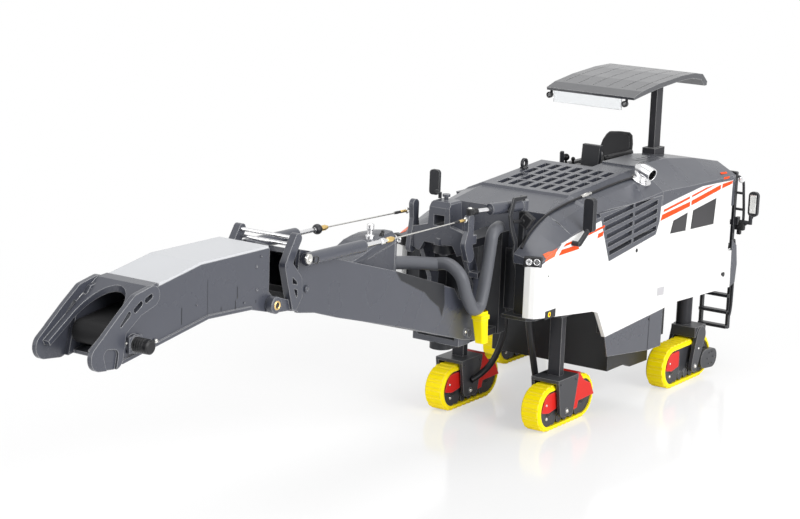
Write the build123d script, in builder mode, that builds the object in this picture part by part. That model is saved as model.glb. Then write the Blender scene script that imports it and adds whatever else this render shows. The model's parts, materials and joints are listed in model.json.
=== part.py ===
from build123d import *

import os
from math import cos, hypot, pi, radians, sin, tan

os.makedirs("parts", exist_ok=True)

# Cold planer milling machine, a 1:50 display model. Millimetres, +X forward, +Y to its left, +Z up.
# Places are measured from the front track centre; the datum puts the origin under the middle of the box.
NOSE_X, REAR_X = 160.0, -81.4
LEFT_Y, RIGHT_Y = 26.0, -29.7
DATUM_X = -(NOSE_X + REAR_X) / 2
DATUM_Y = -(LEFT_Y + RIGHT_Y) / 2

# body
BODY_HALF = 20.0
PANEL_THICK = 1.0
SKIRT_THICK = 0.3
CORE_HALF = BODY_HALF - PANEL_THICK
CORE_TOP = 43.0
CORE_FRONT = 10.0
POD_INNER = 13.0
POD_FRONT = 22.0
SHELF_X, SHELF_Y = 24.0, 11.0
SPLIT_X = -36.0
TAIL_X = -75.2
DECK_TOP = 49.5
RAIL_TOP = 52.2
HOOD_WALL = 2.5
HOOD_FLAT = BODY_HALF - 8.0
HOOD_SWELL = 0.5
RAIL_WIDE = 1.4

# tracks and legs
TRACK_HEIGHT = 11.0
TRACK_HALF = 13.3
TRACK_WIDTH = 5.2
BAND = 1.2
SHOES = 32
BAR = 0.22
BAR_SHORT = 0.5
SHOULDER_CUT = 0.45
RUN_HALF = TRACK_HALF - TRACK_HEIGHT / 2
YOKE_TOP = 12.3
YOKE_PLATE = 0.8
COLUMN_TOP = 35.0
COLUMN_X, COLUMN_Y = 1.9, 3.2
SLEEVE = 0.1
LEG_X, LEG_Y = 1.6, 13.5
REAR_X_TRACK, REAR_Y_TRACK = -53.7, 18.3
REAR_LEG_X, REAR_LEG_Y, REAR_LEG_R = -58.5, 16.8, 2.0
SWING_X, SWING_Y = -46.3, -25.7
SPIGOT = 0.7
WHEEL_HALF = 2.2
KNUCKLE_LOW, KNUCKLE_TOP = 11.6, 14.2
YOKE_BACK, YOKE_FRONT = 3.0, 6.4
ARM_BOLT_X = -1.8

# conveyor
SLEW_X = 31.8
LUFF_Z = 27.3
FOLD_X, FOLD_Z = 105.8, 47.4
PLATE_Y = 7.2
CHEEK = 0.9
KING_PIN = 1.2
FIT = 0.05
RING_X, RING_Y, RING_Z, RING_BORE = -20.0, -10.5, 57.5, 0.8
TONGUE_LOW, TONGUE_HIGH = (22.6, 24.2), (45.0, 47.0)
CYLINDER_Y = 8.7
TONGUE_HALF = 2.6
PIVOT_X, PIVOT_Z = 96.0, 55.4
EYE_X, EYE_Z = 36.0, 54.2
SLEW_FOOT_X, SLEW_FOOT_Y, SLEW_CYL_Z = 18.5, 12.1, 55.7
SLEW_EYE_X, SLEW_EYE_Y = 34.0, 7.7
SLEW_PIN = 0.5
STRAP_TOP = 57.9
STRAP = 0.4
POST_TOP = 55.0

# dust pipe
PIPE_R = 1.45
PIPE_Y = 9.9
CHUTE_X = 31.2
PIPE = [
    (39.5, 2.2, 43.9), (39.1, 5.8, 44.6), (39.3, 9.4, 42.4), (37.4, PIPE_Y, 37.0), (34.6, PIPE_Y, 33.6),
    (31.8, PIPE_Y, 33.6), (30.2, PIPE_Y, 38.0), (28.7, PIPE_Y, 45.0), (27.6, PIPE_Y, 50.6), (23.8, 9.3, 51.0),
]

# milling drum
DRUM_X, DRUM_Z = -29.2, 19.0
DRUM_R = 7.6
PICK = 1.0
DRUM_HALF = 14.3
HOUSING_FRONT, HOUSING_REAR = -18.6, -39.6
HOUSING_HALF = 16.5


def side(y=0.0):
    """Plane facing the machine's right at distance y; sketch axes are forward and up."""
    return Plane(origin=(DATUM_X, DATUM_Y + y, 0), x_dir=(1, 0, 0), z_dir=(0, -1, 0))


def top(z=0.0):
    """Level plane at height z; sketch axes are forward and left."""
    return Plane(origin=(DATUM_X, DATUM_Y, z))


def face(x=0.0):
    """Plane facing forward at distance x; sketch axes are left and up."""
    return Plane(origin=(DATUM_X + x, DATUM_Y, 0), x_dir=(0, 1, 0), z_dir=(1, 0, 0))


def spot(x, y, z):
    """Point of the finished frame for a place measured from the front track centre."""
    return (DATUM_X + x, DATUM_Y + y, z)


def block(x, y, z, mode=Mode.ADD):
    """Box between a pair of limits along each axis."""
    (x0, x1), (y0, y1), (z0, z1) = sorted(x), sorted(y), sorted(z)
    with Locations(spot((x0 + x1) / 2, (y0 + y1) / 2, (z0 + z1) / 2)):
        Box(x1 - x0, y1 - y0, z1 - z0, mode=mode)


def plate(outline, y, thick, mode=Mode.ADD):
    """Upright plate with an outline of (forward, up) places, from y towards the right by thick."""
    with BuildSketch(side(y)) as cut:
        with BuildLine():
            Polyline(*outline, close=True)
        make_face()
    extrude(cut.sketch, amount=thick, mode=mode)


def level(outline, z, thick, mode=Mode.ADD):
    """Level plate with an outline of (forward, left) places, from z upwards by thick."""
    with BuildSketch(top(z)) as cut:
        with BuildLine():
            Polyline(*outline, close=True)
        make_face()
    extrude(cut.sketch, amount=thick, mode=mode)


def front(outline, x, thick, mode=Mode.ADD):
    """Upright plate across the machine with an outline of (left, up) places, from x forwards by thick."""
    with BuildSketch(face(x)) as cut:
        with BuildLine():
            Polyline(*outline, close=True)
        make_face()
    extrude(cut.sketch, amount=thick, mode=mode)


def rims(places):
    """Circles of (forward, up, radius) places, for a hull."""
    return [Edge.make_circle(radius, Plane((forward, up, 0))) for forward, up, radius in places]


def rounded(places, y, thick, mode=Mode.ADD):
    """Upright plate with round corners at (forward, up, radius) places, from y towards the right by thick."""
    with BuildSketch(side(y)) as cut:
        make_hull(rims(places))
    extrude(cut.sketch, amount=thick, mode=mode)


def limb(places, y, thick, mode=Mode.ADD):
    """Upright plate that runs through (forward, up, radius) places one after another."""
    with BuildSketch(side(y)) as cut:
        for pair in zip(places, places[1:]):
            make_hull(rims(pair))
    extrude(cut.sketch, amount=thick, mode=mode)


def pad(x, y, z, corner):
    """Block between a pair of limits along each axis, its upright edges rounded by corner."""
    (x0, x1), (y0, y1), (z0, z1) = sorted(x), sorted(y), sorted(z)
    with BuildSketch(top(z0)) as cut:
        with Locations(((x0 + x1) / 2, (y0 + y1) / 2)):
            RectangleRounded(x1 - x0, y1 - y0, corner)
    extrude(cut.sketch, amount=z1 - z0)


def glass(x, y, z, thick, corner):
    """Mirror head: a plate facing forward round the middle (y, z), with limits of width and height."""
    (y0, y1), (z0, z1) = y, z
    with BuildSketch(face(x)) as cut:
        with Locations(((y0 + y1) / 2, (z0 + z1) / 2)):
            RectangleRounded(y1 - y0, z1 - z0, corner)
    extrude(cut.sketch, amount=thick)


def rod(start, end, radius, mode=Mode.ADD):
    """Round bar between two places."""
    first = Vector(*spot(*start))
    run = Vector(*spot(*end)) - first
    with Locations(Plane(origin=first, z_dir=run)):
        Cylinder(radius, run.length, align=(Align.CENTER, Align.CENTER, Align.MIN), mode=mode)


def hose(places, radius):
    """Round tube through places, each bend as large as the runs beside it allow."""
    points = [Vector(*spot(*place)) for place in places]
    runs = [second - first for first, second in zip(points, points[1:])]
    bends = [0.45 * min(before.length, after.length) / tan(radians(before.get_angle(after)) / 2)
             for before, after in zip(runs, runs[1:])]
    with BuildLine() as run:
        FilletPolyline(*points, radius=bends)
    with BuildSketch(Plane(origin=run.line @ 0, z_dir=run.line % 0)) as ring:
        Circle(radius)
    sweep(ring.sketch, path=run.line)


def sections(table, outline):
    """Ruled body through face sketches; outline turns one table row into (left, up) places."""
    cuts = []
    for row in table:
        with BuildSketch(face(row[0])) as cut:
            with BuildLine():
                Polyline(*outline(*row), close=True)
            make_face()
        cuts.append(cut.sketch)
    loft(cuts, ruled=True)


# ---------------------------------------------------------------- chassis

with BuildPart() as main_frame:
    block((TAIL_X, CORE_FRONT), (-CORE_HALF, CORE_HALF), (31.0, CORE_TOP))
    block((-12.0, CORE_FRONT), (-CORE_HALF, CORE_HALF), (28.6, 31.0))
    for hand in (-1, 1):
        block((CORE_FRONT, POD_FRONT), (hand * POD_INNER, hand * CORE_HALF), (31.0, CORE_TOP))
    block((-74.0, -60.0), (-CORE_HALF, CORE_HALF), (26.0, 31.0))
    block((-60.0, -47.0), (-11.0, 11.0), (20.0, 31.0))
    # bracket that carries the pins the conveyor turns on
    for low, high in (TONGUE_LOW, TONGUE_HIGH):
        with BuildSketch(top(low)) as tongue:
            with Locations(((CORE_FRONT + TONGUE_HALF + SLEW_X) / 2, 0)):
                SlotCenterToCenter(SLEW_X - CORE_FRONT - TONGUE_HALF, 2 * TONGUE_HALF)
            with Locations((SLEW_X, 0)):
                Circle(KING_PIN + FIT, mode=Mode.SUBTRACT)
        extrude(tongue.sketch, amount=high - low)
    block((CORE_FRONT - 1.0, CORE_FRONT + 2.0), (-3.2, 3.2), (TONGUE_LOW[0], TONGUE_HIGH[1]))
    # support of the turning cylinder's foot
    block((SLEW_FOOT_X - 0.7, SLEW_FOOT_X + 0.7), (SLEW_FOOT_Y - SLEW_PIN, POD_INNER), (38.0, SLEW_CYL_Z - 1.5))
    rod((SLEW_FOOT_X, SLEW_FOOT_Y, 53.0), (SLEW_FOOT_X, SLEW_FOOT_Y, STRAP_TOP), SLEW_PIN)
    # shelf under the front corners
    for hand in (-1, 1):
        level([(CORE_FRONT, hand * SHELF_Y), (SHELF_X, hand * SHELF_Y), (SHELF_X, hand * (CORE_HALF - 1.4)),
               (SHELF_X - 2.0, hand * CORE_HALF), (CORE_FRONT, hand * CORE_HALF)], 30.2, 0.8)
    # strap that comes up from the frame outside the cylinder and holds the pin's top
    limb([(20.6, 42.0, 0.9), (22.3, 44.9, 0.7), (22.0, 47.6, 0.6), (24.0, 51.2, 0.6), (24.8, 54.2, 0.6),
          (23.4, STRAP_TOP - 0.3, 0.6), (SLEW_FOOT_X, STRAP_TOP - 0.3, 0.3)], POD_INNER - 0.1, STRAP)
    block((SLEW_FOOT_X - 0.5, SLEW_FOOT_X + 0.5), (SLEW_FOOT_Y - SLEW_PIN, POD_INNER - 0.1),
          (STRAP_TOP - 0.6, STRAP_TOP))
    # sockets for the lifting columns
    for hand in (-1, 1):
        block((LEG_X - COLUMN_X / 2 - SLEEVE, LEG_X + COLUMN_X / 2 + SLEEVE),
              (hand * LEG_Y - COLUMN_Y / 2 - SLEEVE, hand * LEG_Y + COLUMN_Y / 2 + SLEEVE),
              (20.0, 42.0), Mode.SUBTRACT)
    rod((REAR_LEG_X, REAR_LEG_Y, 20.0), (REAR_LEG_X, REAR_LEG_Y, 42.0), REAR_LEG_R + SLEEVE, Mode.SUBTRACT)
main_frame.part.label = "main_frame"
export_step(main_frame.part, "parts/main_frame.step")

# side panel outline, (forward, up), from the front bottom round the back to the front top
PANEL = [
    (21.8, 30.9), (-2.9, 28.0), (-5.6, 27.2), (-9.9, 20.4), (-47.4, 22.4), (-77.8, 20.8),
    (-79.8, 30.6), (-75.2, 31.0), (-75.4, 49.8), (-67.5, 50.2), (-57.7, 50.6), (-41.4, 49.2),
    (-35.6, 48.6), (-4.3, 49.6), (8.5, 48.0), (13.3, 47.0), (16.4, 45.1), (22.8, 43.3), (21.8, 43.0),
]
# side vent outline, (forward, up)
VENT = [(-4.0, 51.4), (-9.6, 39.0), (-33.3, 41.9), (-34.9, 44.9), (-35.6, 51.4)]

# front hood, back to front: forward place, height at the sides, height of the top, half width of the flat
HOOD_FRONT = [(SPLIT_X, 52.3, 57.2, HOOD_FLAT), (-3.0, 50.4, 54.9, HOOD_FLAT), (-2.2, 50.3, 54.2, HOOD_FLAT),
              (9.0, 48.2, 52.3, HOOD_FLAT + 0.5)]
# shoulder beside the conveyor's seat, back to front: forward place, height at the side, height of its top
SHOULDER = [(9.0, 48.2, 52.3), (15.0, 46.4, 49.6), (23.0, 43.8, 45.2)]

# top grille
SLOT_ROWS, SLOT_BAYS = 7, 4
SLOT_STEP, ROW_STEP = 6.1, 3.0

with BuildPart() as hood_front:
    sections(HOOD_FRONT, lambda x, low, high, flat: [
        (-BODY_HALF, CORE_TOP), (-BODY_HALF, low), (-(flat + BODY_HALF) / 2, (low + high) / 2 + HOOD_SWELL),
        (-flat, high), (flat, high), ((flat + BODY_HALF) / 2, (low + high) / 2 + HOOD_SWELL),
        (BODY_HALF, low), (BODY_HALF, CORE_TOP)])
    sections(SHOULDER, lambda x, low, high: [
        (POD_INNER, CORE_TOP), (BODY_HALF, CORE_TOP), (BODY_HALF, low), (POD_INNER, high)])
    sections(SHOULDER, lambda x, low, high: [
        (-POD_INNER, CORE_TOP), (-BODY_HALF, CORE_TOP), (-BODY_HALF, low), (-POD_INNER, high)])
    for near in (BODY_HALF, -CORE_HALF):
        plate(PANEL, near, PANEL_THICK, Mode.SUBTRACT)
        plate(VENT, near, PANEL_THICK, Mode.SUBTRACT)
    # operator's place behind the grille, open to the rear
    block((SPLIT_X - 1.0, -31.0), (-CORE_HALF + 2.0, HOOD_WALL), (DECK_TOP, 60.0), Mode.SUBTRACT)
    # rows of slots in the top grille
    for row in range(SLOT_ROWS):
        for bay in range(SLOT_BAYS):
            with Locations(spot(-7.6 - SLOT_STEP * bay, ROW_STEP * (row - (SLOT_ROWS - 1) / 2) + 0.6, 56.4)):
                Box(SLOT_STEP - 0.9, ROW_STEP - 1.1, 5.2, mode=Mode.SUBTRACT)
hood_front.part.label = "hood_front"
export_step(hood_front.part, "parts/hood_front.step")

# rear hood, front to back: forward place, height at the left side, height of the ridge, y of the ridge
HOOD_REAR = [(SPLIT_X, 52.3, 57.6, BODY_HALF - 8.5), (-52.0, 51.6, 57.6, BODY_HALF - 8.0),
             (-66.0, 51.2, 56.0, BODY_HALF - 6.8), (-77.0, 51.0, 54.0, BODY_HALF - 5.5)]

with BuildPart() as hood_rear:
    sections(HOOD_REAR, lambda x, low, high, ridge: [
        (HOOD_WALL, CORE_TOP), (HOOD_WALL, high), (ridge, high), (BODY_HALF, low), (BODY_HALF, CORE_TOP)])
    plate(PANEL, BODY_HALF, PANEL_THICK, Mode.SUBTRACT)
    for slot in range(5):
        with Locations(spot(-43.5 - 2.4 * slot, 9.0, 57.6)):
            Box(0.9, 4.6, 1.6, mode=Mode.SUBTRACT)
hood_rear.part.label = "hood_rear"
export_step(hood_rear.part, "parts/hood_rear.step")

with BuildPart() as operator_deck:
    block((-77.0, SPLIT_X), (-CORE_HALF, HOOD_WALL), (CORE_TOP, DECK_TOP))
    block((-77.0, SPLIT_X), (-CORE_HALF, -CORE_HALF + RAIL_WIDE), (DECK_TOP, RAIL_TOP))
operator_deck.part.label = "operator_deck"
export_step(operator_deck.part, "parts/operator_deck.step")

SEAT_Y, CUSHION = -6.0, 53.6

with BuildPart() as seat:
    block((-56.0, -52.0), (SEAT_Y - 2.0, SEAT_Y + 2.0), (DECK_TOP, CUSHION - 1.8))
    pad((-59.0, -49.5), (SEAT_Y - 4.0, SEAT_Y + 4.0), (CUSHION - 1.8, CUSHION), 1.2)
    limb([(-58.4, CUSHION + 0.4, 0.9), (-59.4, 58.0, 0.8), (-60.2, 61.8, 0.6)], SEAT_Y + 4.0, 8.0)
    for hand in (-1, 1):
        block((-58.0, -52.0), (SEAT_Y + hand * 4.0, SEAT_Y + hand * 4.8), (CUSHION - 1.6, CUSHION + 1.8))
        limb([(-58.8, CUSHION + 2.0, 0.6), (-50.8, CUSHION + 2.2, 0.6)], SEAT_Y + hand * 4.5 + 0.7, 1.4)
seat.part.label = "seat"
export_step(seat.part, "parts/seat.step")

with BuildPart() as console:
    block((-44.5, -40.5), (-9.0, -1.6), (DECK_TOP, 54.6))
    plate([(-44.0, 54.6), (-42.6, 54.6), (-43.2, 60.0), (-44.6, 60.0)], -2.2, 5.0)
    block((-44.5, -38.0), (-14.0, -9.0), (DECK_TOP, 54.0))
    rod((-40.0, -11.0, 53.8), (-39.6, -11.0, 58.0), 0.5)
    rod((-42.4, -12.6, 53.8), (-42.2, -12.6, 57.2), 0.5)
console.part.label = "console"
export_step(console.part, "parts/console.step")

with BuildPart() as side_panels:
    for hand, near in ((1, BODY_HALF), (-1, -CORE_HALF)):
        plate(PANEL, near, PANEL_THICK)
        plate(VENT, near, PANEL_THICK, Mode.SUBTRACT)
        level([(POD_FRONT - 1.0, hand * CORE_HALF), (POD_FRONT - 1.0, hand * BODY_HALF),
               (POD_FRONT + 0.4, hand * BODY_HALF), (POD_FRONT + 1.6, hand * (BODY_HALF - 0.7)),
               (POD_FRONT + 2.0, hand * (BODY_HALF - 1.9)), (POD_FRONT + 2.0, hand * (BODY_HALF - 3.4)),
               (POD_FRONT, hand * (BODY_HALF - 3.4)), (POD_FRONT, hand * CORE_HALF)], 31.0, CORE_TOP - 31.0)
side_panels.part.label = "side_panels"
export_step(side_panels.part, "parts/side_panels.step")

with BuildPart() as side_vents:
    for near in (BODY_HALF, -CORE_HALF):
        plate(VENT, near, PANEL_THICK)
        for slot in range(5):
            low = 40.4 + 2.15 * slot
            plate([(-9.6 + 0.9 * slot, low), (-20.8, low + 1.3), (-20.8, low + 2.5), (-9.6 + 0.9 * slot, low + 1.2)],
                  near, PANEL_THICK, Mode.SUBTRACT)
            plate([(-21.6, low + 1.3), (-33.4, low + 2.6), (-33.4, low + 3.8), (-21.6, low + 2.5)],
                  near, PANEL_THICK, Mode.SUBTRACT)
side_vents.part.label = "side_vents"
export_step(side_vents.part, "parts/side_vents.step")

EXHAUST_X = -38.3

with BuildPart() as exhaust:
    rod((EXHAUST_X, 15.5, 55.16), (EXHAUST_X, 15.85, 55.71), 2.1)
    rod((EXHAUST_X, 15.8, 55.6), (EXHAUST_X, 16.2, 56.3), 1.75)
    rod((EXHAUST_X, 16.0, 56.0), (EXHAUST_X - 0.1, 16.3, 58.4), 1.35)
    rod((EXHAUST_X, 15.6, 57.7), (EXHAUST_X - 0.6, 19.2, 58.5), 1.55)
    rod((EXHAUST_X - 0.4, 18.0, 58.23), (EXHAUST_X - 0.63, 19.4, 58.55), 1.2, Mode.SUBTRACT)
exhaust.part.label = "exhaust"
export_step(exhaust.part, "parts/exhaust.step")

with BuildPart() as lifting_ring:
    block((RING_X - 0.9, RING_X + 0.9), (RING_Y - 0.7, RING_Y + 0.7), (RING_Z - 1.28, RING_Z - 0.9))
    rod((RING_X, RING_Y - 0.35, RING_Z), (RING_X, RING_Y + 0.35, RING_Z), 1.3)
    rod((RING_X, RING_Y - 0.35, RING_Z), (RING_X, RING_Y + 0.35, RING_Z), RING_BORE, Mode.SUBTRACT)
    block((RING_X - 2.0, RING_X + 2.0), (RING_Y - 1.0, RING_Y + 1.0), (RING_Z - 2.0, RING_Z - 1.28), Mode.SUBTRACT)
lifting_ring.part.label = "lifting_ring"
export_step(lifting_ring.part, "parts/lifting_ring.step")

# ---------------------------------------------------------------- canopy

MAST_X, MAST_Y = -59.5, 4.6
CANOPY_RIGHT, CANOPY_LEFT = -15.0, 9.8
# roof shell in side view, (forward, up)
CANOPY = [
    (-37.2, 73.6), (-37.0, 74.3), (-41.0, 75.4), (-50.0, 76.5), (-62.0, 77.3), (-70.0, 77.3), (-74.6, 76.6),
    (-77.4, 74.4), (-77.2, 73.4), (-76.0, 73.4), (-73.6, 75.2), (-69.0, 76.0), (-62.0, 76.0), (-50.0, 75.2),
    (-41.0, 74.1),
]

with BuildPart() as mast:
    block((MAST_X - 1.6, MAST_X + 1.6), (MAST_Y - 0.9, MAST_Y + 0.9), (58.0, 75.6))
    plate([(-62.5, 56.42), (-57.1, 57.03), (-57.1, 58.6), (-62.5, 58.6)], MAST_Y + 1.6, 3.6)
    plate([(-41.0, 74.1), (-50.0, 75.2), (-62.0, 76.0), (-69.0, 76.0), (-69.0, 75.2), (-62.0, 75.2),
           (-50.0, 74.4), (-41.0, 73.3)], MAST_Y + 0.9, 1.8)
mast.part.label = "mast"
export_step(mast.part, "parts/mast.step")

with BuildPart() as canopy:
    plate(CANOPY, CANOPY_LEFT, CANOPY_LEFT - CANOPY_RIGHT)
    for rib in range(6):
        middle = CANOPY_RIGHT + 2.2 + 4.08 * rib
        plate([(-42.0, 75.2), (-50.0, 76.2), (-62.0, 77.0), (-70.0, 77.0), (-70.0, 78.4), (-62.0, 78.4),
               (-50.0, 78.4), (-42.0, 78.4)], middle + 0.15, 0.3, Mode.SUBTRACT)
canopy.part.label = "canopy"
export_step(canopy.part, "parts/canopy.step")

with BuildPart() as visor:
    block((-37.7, -37.2), (CANOPY_RIGHT + 2.0, CANOPY_LEFT - 3.6), (70.8, 73.6))
visor.part.label = "visor"
export_step(visor.part, "parts/visor.step")

with BuildPart() as roof_lamps:
    for place in (CANOPY_RIGHT + 0.8, CANOPY_LEFT - 2.6):
        rod((-38.6, place, 72.4), (-36.9, place, 72.4), 0.8)
        rod((-38.2, place, 72.4), (-38.2, place, 73.65), 0.35)
roof_lamps.part.label = "roof_lamps"
export_step(roof_lamps.part, "parts/roof_lamps.step")

# ---------------------------------------------------------------- ladder, rails, mirrors, lamps

STILES = (CORE_HALF - 8.4, CORE_HALF - 0.6)

with BuildPart() as ladder:
    for stile in STILES:
        block((REAR_X, REAR_X + 1.2), (stile, stile + 0.8), (8.8, 31.0))
    for step in (9.3, 13.3, 17.8, 22.4, 27.0):
        block((REAR_X + 0.2, REAR_X + 2.0), (STILES[0] + 0.2, STILES[1] + 0.6), (step - 0.4, step + 0.4))
    block((REAR_X + 0.2, TAIL_X), (STILES[0], STILES[1] + 0.6), (31.0, 31.8))
    block((TAIL_X - 1.8, TAIL_X), (STILES[0], STILES[1] + 0.6), (28.0, 31.4))
ladder.part.label = "ladder"
export_step(ladder.part, "parts/ladder.step")

with BuildPart() as corner_posts:
    for stile in (CORE_HALF - 2.4, CORE_HALF + 0.2):
        block((TAIL_X - 3.4, TAIL_X - 2.4), (stile, stile + 0.8), (31.8, 51.6))
    for bar in (37.6, 43.0, 48.0, 51.0):
        block((TAIL_X - 3.3, TAIL_X - 2.5), (CORE_HALF - 2.2, CORE_HALF + 0.8), (bar, bar + 0.7))
    block((TAIL_X - 3.4, TAIL_X), (CORE_HALF - 2.4, CORE_HALF), (38.0, 38.8))
corner_posts.part.label = "corner_posts"
export_step(corner_posts.part, "parts/corner_posts.step")

with BuildPart() as nose_lamps:
    for hand in (-1, 1):
        block((POD_FRONT + 2.0, POD_FRONT + 3.2), (hand * (BODY_HALF - 5.6), hand * (BODY_HALF - 1.0)),
              (42.4, 45.0))
        block((POD_FRONT, POD_FRONT + 2.0), (hand * (BODY_HALF - 6.4), hand * (BODY_HALF - 3.4)), (42.0, 43.0))
        for place in (BODY_HALF - 4.4, BODY_HALF - 2.4):
            rod((POD_FRONT + 3.0, hand * place, 43.7), (POD_FRONT + 3.7, hand * place, 43.7), 0.75)
nose_lamps.part.label = "nose_lamps"
export_step(nose_lamps.part, "parts/nose_lamps.step")

with BuildPart() as mirrors:
    glass(3.6, (BODY_HALF + 0.6, BODY_HALF + 3.2), (48.6, 56.6), 1.6, 0.9)
    rod((8.6, BODY_HALF, 46.4), (8.6, BODY_HALF + 2.0, 46.4), 0.6)
    rod((8.6, BODY_HALF + 1.8, 46.4), (4.4, BODY_HALF + 1.8, 49.2), 0.6)
    glass(TAIL_X - 4.4, (LEFT_Y - 2.8, LEFT_Y), (40.2, 46.8), 0.8, 1.1)
    rod((TAIL_X - 4.0, BODY_HALF, 38.4), (TAIL_X - 4.0, LEFT_Y - 2.0, 38.4), 0.5)
    rod((TAIL_X - 4.0, LEFT_Y - 2.0, 38.0), (TAIL_X - 4.0, LEFT_Y - 2.0, 40.6), 0.5)
    block((TAIL_X - 4.6, TAIL_X - 3.4), (BODY_HALF, BODY_HALF + 0.8), (37.6, 39.6))
mirrors.part.label = "mirrors"
export_step(mirrors.part, "parts/mirrors.step")

# ---------------------------------------------------------------- milling drum and its housing

with BuildPart() as drum_housing:
    block((HOUSING_REAR, HOUSING_FRONT), (-HOUSING_HALF, HOUSING_HALF), (9.4, 31.0))
    block((HOUSING_REAR + 0.8, HOUSING_FRONT - 0.8), (-HOUSING_HALF + 1.4, HOUSING_HALF - 1.4), (9.0, 29.4),
          Mode.SUBTRACT)
    block((-58.0, HOUSING_REAR), (-11.4, 11.4), (10.4, 20.0))
    for hand in (-1, 1):
        plate([(HOUSING_REAR, 9.8), (HOUSING_REAR, 8.0), (-30.4, 8.2), (-27.4, 9.4), (-27.4, 9.8)],
              hand * (HOUSING_HALF - 0.7) + 0.7, 1.4)
        block((HOUSING_REAR, -12.0), (hand * HOUSING_HALF, hand * CORE_HALF), (20.5, 28.6))
        rod((DRUM_X, hand * 15.0, DRUM_Z), (DRUM_X, hand * 16.6, DRUM_Z), 2.05, Mode.SUBTRACT)
drum_housing.part.label = "drum_housing"
export_step(drum_housing.part, "parts/drum_housing.step")

# side skirt, (forward, up): its top follows the white panel
SKIRT = [(-9.9, 20.4), (-11.6, 15.2), (-32.8, 12.6), (HOUSING_REAR, 12.4), (HOUSING_REAR, 21.98)]

with BuildPart() as skirts:
    for near in (BODY_HALF, -BODY_HALF + SKIRT_THICK):
        plate(SKIRT, near, SKIRT_THICK)
skirts.part.label = "skirts"
export_step(skirts.part, "parts/skirts.step")

with BuildPart() as milling_drum:
    rod((DRUM_X, -DRUM_HALF, DRUM_Z), (DRUM_X, DRUM_HALF, DRUM_Z), DRUM_R)
    rod((DRUM_X, -16.4, DRUM_Z), (DRUM_X, 16.4, DRUM_Z), 2.0)
    # picks: three starts of a spiral from each end to the middle
    for start in range(3):
        for turn in range(9):
            for hand in (-1, 1):
                angle = start * 120.0 + turn * 34.0
                with Locations(Location(spot(DRUM_X, hand * (1.0 + 1.55 * turn), DRUM_Z), (0, angle, 0))):
                    with Locations((DRUM_R + PICK / 2 - 0.2, 0, 0)):
                        Box(PICK + 0.4, 0.9, 1.2)
milling_drum.part.label = "milling_drum"
export_step(milling_drum.part, "parts/milling_drum.step")

# ---------------------------------------------------------------- tracks and legs

def band_outline(radius, half, bar, count):
    """Outline of a track band, (forward, up) from its middle, with a raised bar on every shoe."""
    girth = 2 * pi * radius + 4 * half
    places = []
    for shoe in range(count):
        for share, raised in ((0.0, 0.0), (0.28, 0.0), (0.36, bar), (0.92, bar)):
            run = (shoe + share) * girth / count
            reach = radius + raised
            if run < 2 * half:
                places.append((half - run, reach))
            elif run < 2 * half + pi * radius:
                turn = pi / 2 + (run - 2 * half) / radius
                places.append((-half + reach * cos(turn), reach * sin(turn)))
            elif run < 4 * half + pi * radius:
                places.append((-half + run - 2 * half - pi * radius, -reach))
            else:
                turn = -pi / 2 + (run - 4 * half - pi * radius) / radius
                places.append((half + reach * cos(turn), reach * sin(turn)))
    return places


# legs: name, x and y of the track, x and y of the column, side that faces out
LEGS = [
    ("front_left", 0.0, LEG_Y, LEG_X, LEG_Y, 1),
    ("front_right", 0.0, -LEG_Y, LEG_X, -LEG_Y, -1),
    ("rear_left", REAR_X_TRACK, REAR_Y_TRACK, REAR_LEG_X, REAR_LEG_Y, 1),
    ("rear_right", SWING_X, SWING_Y, SWING_X, SWING_Y, -1),
]
AXLE_Z = TRACK_HEIGHT / 2
INNER_R = AXLE_Z - BAND

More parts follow.
